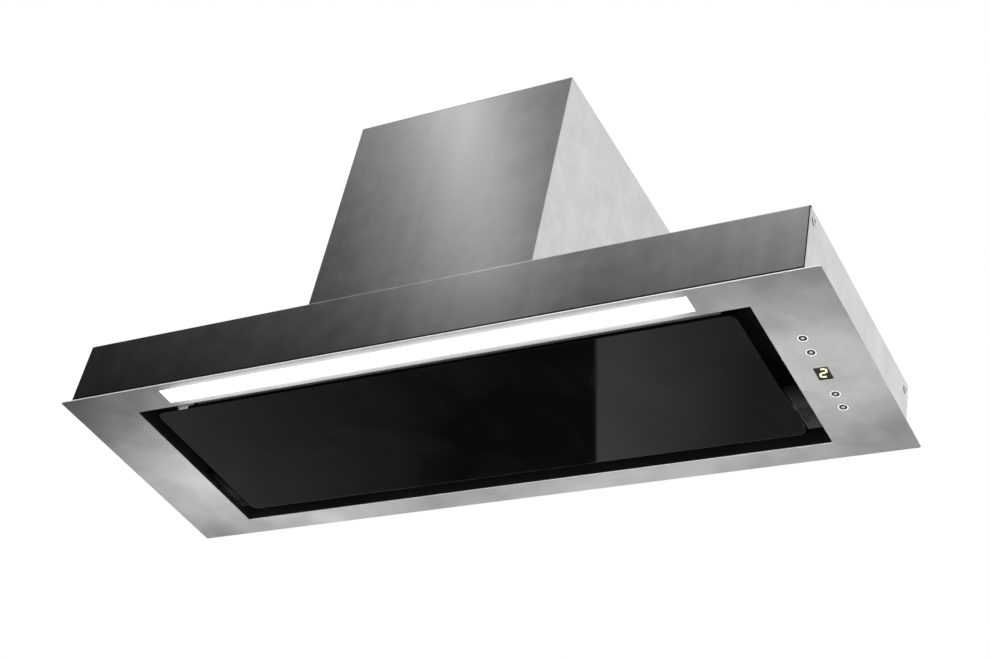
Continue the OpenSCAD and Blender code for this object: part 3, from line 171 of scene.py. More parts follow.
# Long fine scratches along a brushed sheet, with the soft clouds that rolling leaves and, on upright
# faces, faint bands across the brushing
def makeGrainGroup(look):
    group, given, made = newGroup(
        "brushedGrain",
        [("Vector", "Vector", (0, 0, 0)), ("Along", "Float", 14.0), ("Across", "Float", 1500.0),
         ("Clouds", "Float", 9.0), ("Bands", "Float", 28.0)],
        [("Streak", "Float"), ("Cloud", "Float"), ("Band", "Float")])
    faces = splitVector(group, addNode(group, "ShaderNodeNewGeometry").outputs["True Normal"])
    sideways = calc(group, "GREATER_THAN", calc(group, "ABSOLUTE", faces["X"]), look["sideways"])
    lengthways = calc(group, "SUBTRACT", 1.0, sideways)
    reach = calc(group, "SUBTRACT", given["Across"], given["Along"])
    scaleX = calc(group, "ADD", given["Along"], calc(group, "MULTIPLY", reach, sideways))
    scaleY = calc(group, "ADD", given["Along"], calc(group, "MULTIPLY", reach, lengthways))
    scale = addNode(group, "ShaderNodeCombineXYZ", {"X": scaleX, "Y": scaleY, "Z": given["Across"]})
    stretched = addNode(group, "ShaderNodeVectorMath", {0: given["Vector"], 1: scale.outputs[0]},
                        operation="MULTIPLY").outputs[0]
    at = splitVector(group, given["Vector"])
    band = addNode(group, "ShaderNodeTexNoise",
                   {"W": calc(group, "ADD", at["X"], at["Y"]), "Scale": given["Bands"],
                    "Detail": look["bandDetail"]}, noise_dimensions="1D").outputs["Fac"]
    upright = calc(group, "LESS_THAN", calc(group, "ABSOLUTE", faces["Z"]), look["upright"])
    band = calc(group, "MULTIPLY", calc(group, "SUBTRACT", band, 0.5), upright)
    setInputs(group, made, {"Streak": addNoise(group, stretched, 1.0, *look["streak"]),
                            "Cloud": addNoise(group, given["Vector"], given["Clouds"], *look["cloud"]),
                            "Band": calc(group, "ADD", band, 0.5)})
    return group


# How far the rounded and the plain normal agree where an edge starts to be worn, and how patchily
wearLook = {"samples": 4, "sharpness": (0.80, 0.995), "patches": (0.35, 1.0, 0.35, 0.65)}


# Mask of the edges that handling rubs bright
def makeWearGroup(look):
    group, given, made = newGroup(
        "edgeWear",
        [("Vector", "Vector", (0, 0, 0)), ("Width", "Float", 0.0006), ("Breaks", "Float", 180.0)],
        [("Mask", "Float"), ("Normal", "Vector")])
    rounded = addNode(group, "ShaderNodeBevel", {"Radius": given["Width"]},
                      samples=look["samples"]).outputs[0]
    facing = addNode(group, "ShaderNodeNewGeometry").outputs["Normal"]
    agree = addNode(group, "ShaderNodeVectorMath", {0: rounded, 1: facing},
                    operation="DOT_PRODUCT").outputs["Value"]
    edge = spread(group, agree, 1.0, 0.0, *look["sharpness"])
    patchy = spread(group, addNoise(group, given["Vector"], given["Breaks"], detail=2.0), *look["patches"])
    setInputs(group, made, {"Mask": calc(group, "MULTIPLY", edge, patchy, clamp=True), "Normal": rounded})
    return group


# Fine pebbled skin of moulded plastic and powder coat, with faint dust
def makeSkinGroup():
    group, given, made = newGroup(
        "pebbledSkin",
        [("Vector", "Vector", (0, 0, 0)), ("Grain", "Float", 2200.0), ("Dust", "Float", 30.0)],
        [("Height", "Float"), ("Dust", "Float")])
    pebble = addNode(group, "ShaderNodeTexVoronoi", {"Vector": given["Vector"], "Scale": given["Grain"]},
                     feature="SMOOTH_F1")
    dust = addNoise(group, given["Vector"], given["Dust"], detail=5.0, roughness=0.65)
    setInputs(group, made, {"Height": pebble.outputs["Distance"], "Dust": dust})
    return group


grainGroup = makeGrainGroup(grainLook)
wearGroup = makeWearGroup(wearLook)
skinGroup = makeSkinGroup()
print("shared effects built")


# Tree, shader and object coordinates of a material, to add nodes to
def openMaterial(material):
    tree = material.node_tree
    place = addNode(tree, "ShaderNodeTexCoord").outputs["Object"]
    return tree, tree.nodes["Principled BSDF"], place


def startMaterial(name, metallic=0.0):
    material = bpy.data.materials.new(name)
    material.use_nodes = True
    tree, shader, place = openMaterial(material)
    shader.inputs["Metallic"].default_value = metallic
    return material, tree, shader, place


steelLook = {
    "colour": (0.57, 0.57, 0.565), "edgeColour": (0.80, 0.80, 0.79), "contrast": 0.13, "metallic": 1.0,
    "along": 60.0, "across": 1500.0, "clouds": 40.0,
    "streakTone": 0.18, "cloudTone": 0.24, "bandTone": 0.14,
    "roughness": 0.19, "streakRough": 0.012, "cloudRough": 0.012,
    "bump": 0.02, "anisotropy": 0.75, "brushTurn": 0.25, "edge": 0.4 * mm,
}


# Rolled and brushed sheet: streaks in colour, roughness and height, and rubbed edges
def sheetMetal(name, look):
    material, tree, shader, place = startMaterial(name, look["metallic"])
    grain = useGroup(tree, grainGroup, {"Vector": place, "Along": look["along"],
                                        "Across": look["across"], "Clouds": look["clouds"]})
    wear = useGroup(tree, wearGroup, {"Vector": place, "Width": look["edge"]})
    tone = swing(tree, grain["Streak"], look["streakTone"])
    tone = calc(tree, "ADD", tone, swing(tree, grain["Cloud"], look["cloudTone"]))
    tone = calc(tree, "ADD", tone, swing(tree, grain["Band"], look["bandTone"]))
    tone = calc(tree, "ADD", tone, 0.5, clamp=True)
    dark = [part * (1 - look["contrast"]) for part in look["colour"]]
    light = [min(1.0, part * (1 + look["contrast"])) for part in look["colour"]]
    colour = blendColour(tree, tone, dark, light)
    rough = calc(tree, "ADD", swing(tree, grain["Streak"], look["streakRough"]), look["roughness"])
    setInputs(tree, shader, {
        "Base Color": blendColour(tree, wear["Mask"], colour, look["edgeColour"]),
        "Roughness": calc(tree, "ADD", rough, swing(tree, grain["Cloud"], look["cloudRough"])),
        "Anisotropic": look["anisotropy"], "Anisotropic Rotation": look["brushTurn"],
        "Normal": addBump(tree, grain["Streak"], look["bump"], normal=wear["Normal"])})
    return material


# The front panel has painted shade along the joint at its right end, a painted shadow along the seam at its
# foot, painted shade that darkens it towards the foot, and a painted highlight along the hem on top
def frontSteel(look):
    material = sheetMetal("frontSteel", dict(steelLook, bandTone=look["bandTone"]))
    tree, shader, place = openMaterial(material)
    at = splitVector(tree, place)
    low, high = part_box("front_panel")
    # Masks of the painted shade at the right-end joint, the painted highlight on the top hem, the painted
    # shadow along the foot seam and the painted shade that grows towards the foot
    joint = spread(tree, at["X"], 0.0, 1.0, high.x - look["joint"], high.x - look["joint"] / 2)
    hemHighlight = spread(tree, at["Z"], 0.0, 1.0, high.z - look["hemHighlight"], high.z - look["hemHighlight"] / 2)
    seamShadow = spread(tree, at["Z"], 1.0, 0.0, low.z + look["seamShadow"] / 2, low.z + look["seamShadow"])
    foot = spread(tree, at["Z"], look["footShade"], 0.0, low.z, high.z)
    colour = shader.inputs["Base Color"].links[0].from_socket
    colour = blendColour(tree, foot, colour, (0.0, 0.0, 0.0))
    colour = blendColour(tree, hemHighlight, colour, look["hemHighlightColour"])
    colour = blendColour(tree, calc(tree, "MAXIMUM", joint, seamShadow), colour, look["jointAndSeamShade"])
    setInputs(tree, shader, {"Base Color": colour})
    return material


# Level sheet with sheared edges, rougher where they face the front and given a painted highlight there,
# and a painted glow of the strip's light on the steel beside it. Its brushing direction is taken round the
# Y axis
def plateSteel(look):
    material = sheetMetal("plateSteel", dict(steelLook, clouds=look["clouds"], cloudTone=look["cloudTone"],
                                             contrast=look["contrast"]))
    tree, shader, place = openMaterial(material)
    around = addNode(tree, "ShaderNodeTangent", direction_type="RADIAL", axis="Y").outputs[0]
    faces = splitVector(tree, addNode(tree, "ShaderNodeNewGeometry").outputs["True Normal"])
    # Front-facing cut edges: rougher and less metallic, with a painted highlight in a lighter colour
    frontEdgeHighlight = calc(tree, "LESS_THAN", faces["Y"], look["facing"])
    under = calc(tree, "LESS_THAN", faces["Z"], look["facing"])
    colour = shader.inputs["Base Color"].links[0].from_socket
    rough = shader.inputs["Roughness"].links[0].from_socket
    at = splitVector(tree, place)
    # Painted glow of the strip's light, emitted by the steel round the slot and fading with distance from
    # it
    low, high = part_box("led_diffuser")
    beside = beyond(tree, at["X"], low.x, high.x)
    before = beyond(tree, at["Y"], low.y, high.y)
    away = calc(tree, "MAXIMUM", calc(tree, "MAXIMUM", beside, before), 0.0)
    glow = calc(tree, "EXPONENT", calc(tree, "DIVIDE", away, -look["paintedGlowReach"]))
    glow = calc(tree, "MULTIPLY", glow, under)
    glow = calc(tree, "MULTIPLY", glow, spread(tree, beside, 1.0, 0.0, -look["paintedGlowFade"], 0.0))
    setInputs(tree, shader, {
        "Base Color": blendColour(tree, frontEdgeHighlight, colour, look["frontEdgeHighlightColour"]),
        "Roughness": calc(tree, "MAXIMUM", rough, calc(tree, "MULTIPLY", frontEdgeHighlight, look["shearedRough"])),
        "Metallic": spread(tree, frontEdgeHighlight, look["metallic"], look["shearedMetallic"]),
        "Tangent": around,
        "Emission Color": blendColour(tree, glow, (0, 0, 0), look["glow"]), "Emission Strength": 1.0})
    return material


# Polished ring round each button that fades into the plate, with painted shade in its throat. It is read
# from the four button centres, which lie in a row along Y: the row is folded over twice, so that one
# centre stands for all four
def bezelSteel(look):
    material, tree, shader, place = startMaterial("bezelSteel", 1.0)
    caps = [sum(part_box("button_cap_%d" % number), Vector()) / 2 for number in buttonNumbers]
    rows = sorted(cap.y for cap in caps)
    at = splitVector(tree, place)
    fold = calc(tree, "ABSOLUTE", calc(tree, "SUBTRACT", at["Y"], sum(rows) / 4))
    fold = calc(tree, "ABSOLUTE", calc(tree, "SUBTRACT", fold, (rows[3] + rows[2] - rows[1] - rows[0]) / 4))
    along = calc(tree, "SUBTRACT", fold, (rows[1] - rows[0]) / 2)
    across = calc(tree, "SUBTRACT", at["X"], caps[0].x)
    radius = calc(tree, "SQRT", calc(tree, "ADD", calc(tree, "MULTIPLY", along, along),
                                     calc(tree, "MULTIPLY", across, across)))
    grime = useGroup(tree, skinGroup, {"Vector": place, "Grain": look["grain"], "Dust": look["dustSize"]})
    outward = spread(tree, radius, 0.0, 1.0, look["lip"], look["rim"])
    # Painted shade in the throat round the cap
    throatShade = spread(tree, radius, 1.0, 0.0, look["inner"] - look["soft"], look["inner"] + look["soft"])
    colour = blendColour(tree, outward, look["colour"], look["outer"])
    colour = blendColour(tree, calc(tree, "MULTIPLY", grime["Dust"], look["dust"]), colour, look["outer"])
    setInputs(tree, shader, {"Base Color": blendColour(tree, throatShade, colour, look["throatShadeColour"]),
                             "Roughness": spread(tree, outward, *look["roughness"]),
                             "Normal": addBump(tree, grime["Height"], look["bump"])})
    return material


# Wiped and clouded zinc of the hinge brackets, with a painted highlight along the lip next to the glass.
# Painted shade makes the left bracket and the front ends darker
def bracketZinc(look):
    material, tree, shader, place = startMaterial("bracketZinc", look["metallic"])
    cloud = addNoise(tree, place, look["cloud"], detail=5.0, roughness=0.6, distortion=0.6)
    wear = useGroup(tree, wearGroup, {"Vector": place, "Width": look["edge"]})
    tone = spread(tree, cloud, 0.0, 1.0, *look["cloudRange"])
    colour = blendColour(tree, tone, look["colour"], look["light"])
    colour = blendColour(tree, wear["Mask"], colour, look["edgeColour"])
    at = splitVector(tree, place)
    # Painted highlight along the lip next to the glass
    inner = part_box("glass_panel")[1].x
    lip = spread(tree, calc(tree, "ABSOLUTE", at["X"]), 1.0, 0.0, inner + look["lip"] / 2,
                 inner + look["lip"])
    colour = blendColour(tree, lip, colour, look["lipHighlightColour"])
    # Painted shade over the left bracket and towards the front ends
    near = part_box("hinge_brackets")[0].y
    paintedShade = calc(tree, "MULTIPLY",
                 spread(tree, at["X"], look["leftPaintedShade"], 1.0, -look["leftFade"], look["leftFade"]),
                 spread(tree, at["Y"], look["nearPaintedShade"], 1.0, near, near + look["nearFade"]))
    paintedShade = addNode(tree, "ShaderNodeCombineXYZ", {"X": paintedShade, "Y": paintedShade, "Z": paintedShade}).outputs[0]
    setInputs(tree, shader, {
        "Base Color": blendColour(tree, 1.0, colour, paintedShade, "MULTIPLY"),
        "Roughness": spread(tree, tone, *look["roughness"]),
        "Normal": addBump(tree, cloud, look["bump"], look["depth"], wear["Normal"])})
    return material


# Galvanised sheet with its spangle
def zincSheet():
    look = {"colour": (0.585, 0.595, 0.605), "light": (0.645, 0.655, 0.665), "edgeColour": (0.8, 0.8, 0.8),
            "spangle": 130.0, "flakeShare": 0.6, "warp": 240.0, "warpShare": 0.4,
            "roughness": 0.36, "roughSpread": 0.02, "bump": 0.07, "depth": 0.2 * mm, "edge": 0.5 * mm}
    material, tree, shader, place = startMaterial("zincSheet", 1.0)
    flakes = addNode(tree, "ShaderNodeTexVoronoi", {"Vector": place, "Scale": look["spangle"]})
    bright = addNode(tree, "ShaderNodeSeparateColor", {0: flakes.outputs["Color"]}).outputs[0]
    warp = addNoise(tree, place, look["warp"], detail=3.0)
    tone = calc(tree, "ADD", calc(tree, "MULTIPLY", bright, look["flakeShare"]),
                calc(tree, "MULTIPLY", warp, look["warpShare"]))
    wear = useGroup(tree, wearGroup, {"Vector": place, "Width": look["edge"]})
    colour = blendColour(tree, tone, look["colour"], look["light"])
    setInputs(tree, shader, {
        "Base Color": blendColour(tree, wear["Mask"], colour, look["edgeColour"]),
        "Roughness": spread(tree, tone, look["roughness"] - look["roughSpread"],
                            look["roughness"] + look["roughSpread"]),
        "Normal": addBump(tree, tone, look["bump"], look["depth"], wear["Normal"])})
    return material


coatLook = {
    "colour": (0.03, 0.03, 0.03), "dustColour": (0.22, 0.21, 0.20), "edgeColour": (0.25, 0.25, 0.25),
    "metallic": 0.0, "grain": 2200.0, "dustSize": 30.0, "dust": 0.10, "dustRange": (0.45, 0.75),
    "edge": 0.4 * mm, "wear": 0.3, "roughness": 0.45, "roughSpread": 0.08, "bump": 0.25,
}


# Smooth or grained solid colour with dust in its hollows and rubbed edges
def plainCoat(name, **changes):
    look = dict(coatLook, **changes)
    material, tree, shader, place = startMaterial(name, look["metallic"])
    skin = useGroup(tree, skinGroup, {"Vector": place, "Grain": look["grain"], "Dust": look["dustSize"]})
    wear = useGroup(tree, wearGroup, {"Vector": place, "Width": look["edge"]})
    dusty = spread(tree, skin["Dust"], 0.0, look["dust"], *look["dustRange"])
    colour = blendColour(tree, dusty, look["colour"], look["dustColour"])
    worn = calc(tree, "MULTIPLY", wear["Mask"], look["wear"])
    setInputs(tree, shader, {
        "Base Color": blendColour(tree, worn, colour, look["edgeColour"]),
        "Roughness": swing(tree, skin["Dust"], look["roughSpread"], look["roughness"]),
        "Normal": addBump(tree, skin["Height"], look["bump"], normal=wear["Normal"])})
    return material


# Gloss black glass with wiping haze and a ground edge
def blackGlass():
    look = {"colour": (0.0035, 0.0035, 0.0038), "haze": (0.010, 0.010, 0.011), "hazeSize": 7.0,
            "hazeRange": (0.45, 0.8), "roughness": 0.03, "smear": 0.05, "specular": 0.16,
            "edge": 0.8 * mm, "edgeColour": (0.03, 0.03, 0.03), "breaks": 20.0}
    material, tree, shader, place = startMaterial("blackGlass")
    smears = addNoise(tree, place, look["hazeSize"], detail=5.0, roughness=0.6, distortion=0.8)
    haze = spread(tree, smears, 0.0, 1.0, *look["hazeRange"])
    wear = useGroup(tree, wearGroup, {"Vector": place, "Width": look["edge"], "Breaks": look["breaks"]})
    colour = blendColour(tree, haze, look["colour"], look["haze"])
    setInputs(tree, shader, {
        "Base Color": blendColour(tree, wear["Mask"], colour, look["edgeColour"]),
        "Roughness": spread(tree, haze, look["roughness"], look["roughness"] + look["smear"]),
        "Specular IOR Level": look["specular"], "Normal": wear["Normal"]})
    return material


# Opal strip lit from behind, a little brighter over each chip
def opalPlastic():
    look = {"colour": (0.95, 0.95, 0.93), "frosted": (0.9, 0.9, 0.88), "frost": 900.0,
            "glow": (1.0, 1.0, 0.985), "dim": (0.93, 0.94, 0.95), "strength": 1.05, "pitch": 0.018,
            "chips": (0.3, 0.8), "frostGlow": 0.2, "roughness": (0.35, 0.5)}
    material, tree, shader, place = startMaterial("opalPlastic")
    turn = 2 * math.pi / look["pitch"]
    wave = calc(tree, "COSINE", calc(tree, "MULTIPLY", splitVector(tree, place)["X"], turn))
    frost = addNoise(tree, place, look["frost"], detail=2.0)
    light = calc(tree, "ADD", spread(tree, wave, *look["chips"], -1.0, 1.0),
                 calc(tree, "MULTIPLY", frost, look["frostGlow"]), clamp=True)
    setInputs(tree, shader, {"Base Color": blendColour(tree, frost, look["frosted"], look["colour"]),
                             "Roughness": spread(tree, frost, *look["roughness"]),
                             "Emission Color": blendColour(tree, light, look["dim"], look["glow"]),
                             "Emission Strength": look["strength"]})
    return material


# Lit segment of the digit, mottled like a lamp behind a mask
def litSegment():
    look = {"colour": (0.9, 0.88, 0.7), "dull": (0.7, 0.68, 0.5), "middle": (1.0, 0.99, 0.92),
            "rim": (0.98, 0.96, 0.82), "strength": 1.1, "mottle": 600.0, "roughness": (0.3, 0.45)}
    material, tree, shader, place = startMaterial("litSegment")
    glow = addNoise(tree, place, look["mottle"], detail=1.0)
    setInputs(tree, shader, {"Base Color": blendColour(tree, glow, look["dull"], look["colour"]),
                             "Roughness": spread(tree, glow, *look["roughness"]),
                             "Emission Color": blendColour(tree, glow, look["rim"], look["middle"]),
                             "Emission Strength": look["strength"]})
    return material


def smokedWindow():
    look = {"colour": (0.66, 0.66, 0.56), "deep": (0.52, 0.52, 0.43), "smear": 120.0,
            "roughness": (0.03, 0.08), "bending": 1.49}
    material, tree, shader, place = startMaterial("smokedWindow")
    smear = addNoise(tree, place, look["smear"], detail=3.0)
    setInputs(tree, shader, {"Base Color": blendColour(tree, smear, look["deep"], look["colour"]),
                             "Roughness": spread(tree, smear, *look["roughness"]),
                             "Transmission Weight": 1.0, "IOR": look["bending"]})
    return material


def circuitBoard():
    look = {"mask": (0.020, 0.13, 0.065), "track": (0.035, 0.21, 0.10), "pad": (0.62, 0.60, 0.52),
            "tracks": 120.0, "gap": 0.03, "long": 0.9, "wide": 0.22, "pads": 260.0, "padRim": (0.12, 0.16),
            "roughness": (0.35, 0.22), "bump": 0.3}
    material, tree, shader, place = startMaterial("circuitBoard")
    tracks = addNode(tree, "ShaderNodeTexBrick",
                     {"Vector": place, "Scale": look["tracks"], "Mortar Size": look["gap"],
                      "Brick Width": look["long"], "Row Height": look["wide"]}).outputs["Fac"]
    pads = addNode(tree, "ShaderNodeTexVoronoi", {"Vector": place, "Scale": look["pads"]})
    pad = spread(tree, pads.outputs["Distance"], 1.0, 0.0, *look["padRim"])
    colour = blendColour(tree, tracks, look["mask"], look["track"])
    setInputs(tree, shader, {"Base Color": blendColour(tree, pad, colour, look["pad"]),
                             "Roughness": spread(tree, pad, *look["roughness"]), "Metallic": pad,
                             "Normal": addBump(tree, calc(tree, "ADD", tracks, pad), look["bump"])})
    return material


# Expanded aluminium mesh: open diamonds between thin strands
def filterMesh():
    look = {"pitch": 0.0046, "strand": 0.42, "soft": 0.08, "colour": (0.60, 0.60, 0.60),
            "dark": (0.30, 0.30, 0.31), "soil": (0.75, 0.74, 0.70), "soilSize": 40.0,
            "soilShare": (0.0, 0.3, 0.4, 0.7), "roughness": (0.3, 0.5), "bump": 0.8, "depth": 0.4 * mm}
    material, tree, shader, place = startMaterial("filterMesh", 1.0)
    at = splitVector(tree, place)
    turn = math.pi / look["pitch"]
    along = calc(tree, "MULTIPLY", at["X"], turn)
    across = calc(tree, "MULTIPLY", calc(tree, "ADD", at["Y"], at["Z"]), turn)
    first = calc(tree, "ABSOLUTE", calc(tree, "SINE", calc(tree, "ADD", along, across)))
    second = calc(tree, "ABSOLUTE", calc(tree, "SINE", calc(tree, "SUBTRACT", along, across)))
    nearest = calc(tree, "MINIMUM", first, second)
    ridge = spread(tree, nearest, 1.0, 0.0, 0.0, look["strand"])
    soil = addNoise(tree, place, look["soilSize"], detail=4.0)
    colour = blendColour(tree, ridge, look["dark"], look["colour"])
    setInputs(tree, shader, {
        "Base Color": blendColour(tree, spread(tree, soil, *look["soilShare"]), colour, look["soil"]),
        "Roughness": spread(tree, soil, *look["roughness"]),
        "Alpha": spread(tree, nearest, 1.0, 0.0, look["strand"] - look["soft"],
                        look["strand"] + look["soft"]),
        "Normal": addBump(tree, ridge, look["bump"], look["depth"])})
    return material


# Finishes by slot of the record, then those of single nodes. Bright steel has only such nodes
finishes = {
    "brushed_steel": sheetMetal("brushedSteel", steelLook),
    "filter_aluminium": sheetMetal("filterAluminium", dict(
        steelLook, colour=(0.62, 0.62, 0.62), roughness=0.38, across=700.0, contrast=0.08,
        anisotropy=0.3, metallic=0.75)),
    "zinc_sheet": zincSheet(),
    "zinc_steel": plainCoat(
        "zincSteel", metallic=1.0, colour=(0.60, 0.60, 0.57), dustColour=(0.42, 0.42, 0.42),
        edgeColour=(0.85, 0.85, 0.83), roughness=0.3, wear=0.8, dust=0.5, grain=1200.0, bump=0.08),
    "dark_sheet": plainCoat(
        "darkSheet", colour=(0.010, 0.010, 0.011), edgeColour=(0.06, 0.06, 0.06), roughness=0.55,
        wear=0.2, dust=0.03, grain=900.0, bump=0.2),
    "motor_paint": plainCoat(
        "motorPaint", colour=(0.13, 0.14, 0.15), edgeColour=(0.45, 0.45, 0.45), roughness=0.38,
        wear=0.6, grain=600.0, bump=0.3),
    "black_plastic": plainCoat("blackPlastic"),
    "grey_plastic": plainCoat(
        "greyPlastic", colour=(0.27, 0.275, 0.28), dustColour=(0.4, 0.39, 0.37),
        edgeColour=(0.4, 0.4, 0.4)),
    "white_plastic": plainCoat(
        "whitePlastic", colour=(0.72, 0.72, 0.70), dustColour=(0.55, 0.53, 0.50),
        edgeColour=(0.8, 0.8, 0.8), roughness=0.4, grain=1500.0, bump=0.12),
    "button_plastic": plainCoat(
        "buttonPlastic", colour=(0.010, 0.010, 0.011), roughness=0.5, wear=0.0, dust=0.02,
        grain=3000.0, bump=0.1),
    "rubber": plainCoat(
        "rubber", colour=(0.022, 0.022, 0.022), roughness=0.72, wear=0.1, dust=0.2, grain=1400.0),
    "filter_mesh": filterMesh(), "black_glass": blackGlass(), "opal_plastic": opalPlastic(),
    "lit_segment": litSegment(), "smoked_window": smokedWindow(), "circuit_board": circuitBoard(),
}
ownFinishes = {
    # The plate's lighter front-facing edge colour is a painted highlight, and its glow is a painted glow of
    # the strip's light
    "face_plate": plateSteel({
        "clouds": 16.0, "cloudTone": 0.65, "contrast": 0.16, "metallic": 0.93, "facing": -0.5,
        "frontEdgeHighlightColour": (0.90, 0.90, 0.90), "shearedRough": 0.45, "shearedMetallic": 0.5,
        "glow": (0.60, 0.61, 0.62), "paintedGlowReach": 5.0 * mm, "paintedGlowFade": 30 * mm}),
    # The front panel's joint, seam and foot darkening are painted shade, and its bright hem is a painted
    # highlight
    "front_panel": frontSteel({
        "bandTone": 0.26, "joint": 1.3 * mm, "jointAndSeamShade": (0.02, 0.02, 0.02), "hemHighlight": 1.2 * mm,
        "hemHighlightColour": (0.64, 0.64, 0.64), "seamShadow": 1.5 * mm, "footShade": 0.28}),
    "side_fixings": sheetMetal("fixingSteel", dict(
        steelLook, colour=(0.86, 0.86, 0.85), roughness=0.5, anisotropy=0.0, metallic=0.3)),
    # The bezels' dark throat is painted shade
    "button_bezels": bezelSteel({
        "colour": (0.90, 0.90, 0.89), "outer": (0.55, 0.55, 0.545), "throatShadeColour": (0.02, 0.02, 0.02),
        "inner": 3.9 * mm, "soft": 0.1 * mm, "lip": 4.9 * mm, "rim": 5.7 * mm,
        "grain": 1800.0, "dustSize": 400.0, "dust": 0.3, "roughness": (0.20, 0.32), "bump": 0.04}),
    "panel_clip": plainCoat(
        "clipMetal", colour=(0.70, 0.70, 0.69), metallic=0.3, dust=0.5, dustColour=(0.45, 0.45, 0.44)),
    # The brackets' bright lip is a painted highlight, and their darker left and front parts are painted
    # shade
    "hinge_brackets": bracketZinc({
        "colour": (0.16, 0.16, 0.16), "light": (0.56, 0.56, 0.56), "metallic": 0.9,
        "cloud": 34.0, "cloudRange": (0.35, 0.65), "edge": 0.8 * mm, "edgeColour": (0.9, 0.9, 0.9),
        "leftPaintedShade": 0.26, "leftFade": 100 * mm, "nearPaintedShade": 0.08, "nearFade": 45 * mm,
        "lip": 1.6 * mm, "lipHighlightColour": (0.85, 0.85, 0.85), "roughness": (0.45, 0.30),
        "bump": 0.1, "depth": 0.3 * mm}),
}
print("materials built:", len(finishes) + len(ownFinishes))

for part in frame["record"]["subparts"]:
    node = frame["nodes"][part["node"]]
    finish = ownFinishes.get(part["node"]) or finishes[part["material_slot"]]
    for place in node.material_slots:
        place.material = finish
    if not node.material_slots:
        node.data.materials.append(finish)

sharpFrom = 35  # degrees between faces, past which an edge stays sharp


# Finished pieces that the plain solids leave out
def addPiece(name, shape, body, slot, finish=None):
    bmesh.ops.recalc_face_normals(shape, faces=shape.faces)
    mesh = bpy.data.meshes.new(name)
    shape.to_mesh(mesh)
    shape.free()
    piece = bpy.data.objects.new(name, mesh)
    bpy.context.scene.collection.objects.link(piece)
    for face in mesh.polygons:
        face.use_smooth = True
    mesh.set_sharp_from_angle(angle=math.radians(sharpFrom))
    mesh.materials.append(finish or finishes[slot])
    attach(piece, body)


inlayLook = {"radius": 2.0 * mm, "proud": 0.04 * mm, "round": 0.03 * mm, "sunk": 0.02 * mm, "sides": 40}


# Light centre of each button, a shallow domed disc on the cap
def makeButtonInlays(look):
    for number in buttonNumbers:
        low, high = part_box("button_cap_%d" % number)
        middle = (low + high) / 2
        disc = bmesh.new()
        bmesh.ops.create_circle(disc, cap_ends=True, radius=look["radius"], segments=look["sides"])
        grown = bmesh.ops.extrude_face_region(disc, geom=disc.faces[:])
        lowered = [part for part in grown["geom"] if isinstance(part, bmesh.types.BMVert)]
        bmesh.ops.translate(disc, verts=lowered, vec=(0, 0, -look["proud"] - look["sunk"]))
        rim = [edge for edge in disc.edges if all(vert in lowered for vert in edge.verts)]
        bmesh.ops.bevel(disc, geom=rim, offset=look["round"], segments=3, profile=0.5,
                        affect="EDGES", material=-1)
        bmesh.ops.translate(disc, verts=disc.verts, vec=(middle.x, middle.y, low.z + look["sunk"]))
        addPiece("button_inlay_%d" % number, disc, "button_%d" % number, "white_plastic")


makeButtonInlays(inlayLook)
print("button inlays made")

lipLook = {"left": -315.5 * mm, "right": -303.0 * mm, "gap": 0.4 * mm, "thick": 0.7 * mm, "tall": 4.6 * mm,
           "deep": 5.6 * mm, "round": 0.15 * mm}


# Bent tab of the panel clip: it stands before the front edge of the glass and turns back above it
def makeClipLip(look):
    low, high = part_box("glass_panel")
    front = low.y - look["gap"]
    back = front - look["thick"]
    top = high.z + look["gap"]
    foot = top + look["thick"] - look["tall"] - look["gap"]
    profile = [(back, foot), (back, top + look["thick"]), (back + look["deep"], top + look["thick"]),
               (back + look["deep"], top), (front, top), (front, foot)]
    tab = bmesh.new()
    face = tab.faces.new([tab.verts.new((look["left"], y, z)) for y, z in profile])
    grown = bmesh.ops.extrude_face_region(tab, geom=[face])
    moved = [part for part in grown["geom"] if isinstance(part, bmesh.types.BMVert)]
    bmesh.ops.translate(tab, verts=moved, vec=(look["right"] - look["left"], 0, 0))
    bmesh.ops.bevel(tab, geom=tab.edges[:], offset=look["round"], segments=2, profile=0.5,
                    affect="EDGES", material=-1)
    addPiece("clip_lip", tab, "panel", "zinc_steel", finish=ownFinishes["panel_clip"])


makeClipLip(lipLook)
print("clip lip made")


# Studio: floor, world and lights. The floor lies low enough for pictures from under the hood
floorLook = {"level": -3.3, "size": 190.0, "colour": (0.95, 0.95, 0.95), "darker": 0.97,
             "mottle": 3.0, "roughness": (0.75, 0.85)}


def makeFloor(look):
    shape = bmesh.new()
    bmesh.ops.create_grid(shape, x_segments=8, y_segments=8, size=look["size"] / 2)
    bmesh.ops.translate(shape, verts=shape.verts, vec=(0, 0, look["level"]))
    mesh = bpy.data.meshes.new("studioFloor")
    shape.to_mesh(mesh)
    shape.free()
    floor = bpy.data.objects.new("studioFloor", mesh)
    bpy.context.scene.collection.objects.link(floor)
    material, tree, shader, place = startMaterial("studioFloor")
    paint = addNoise(tree, place, look["mottle"], detail=3.0)
    darker = [part * look["darker"] for part in look["colour"]]
    setInputs(tree, shader, {"Base Color": blendColour(tree, paint, darker, look["colour"]),
                             "Roughness": spread(tree, paint, *look["roughness"])})
    mesh.materials.append(material)
    floor.visible_glossy = False


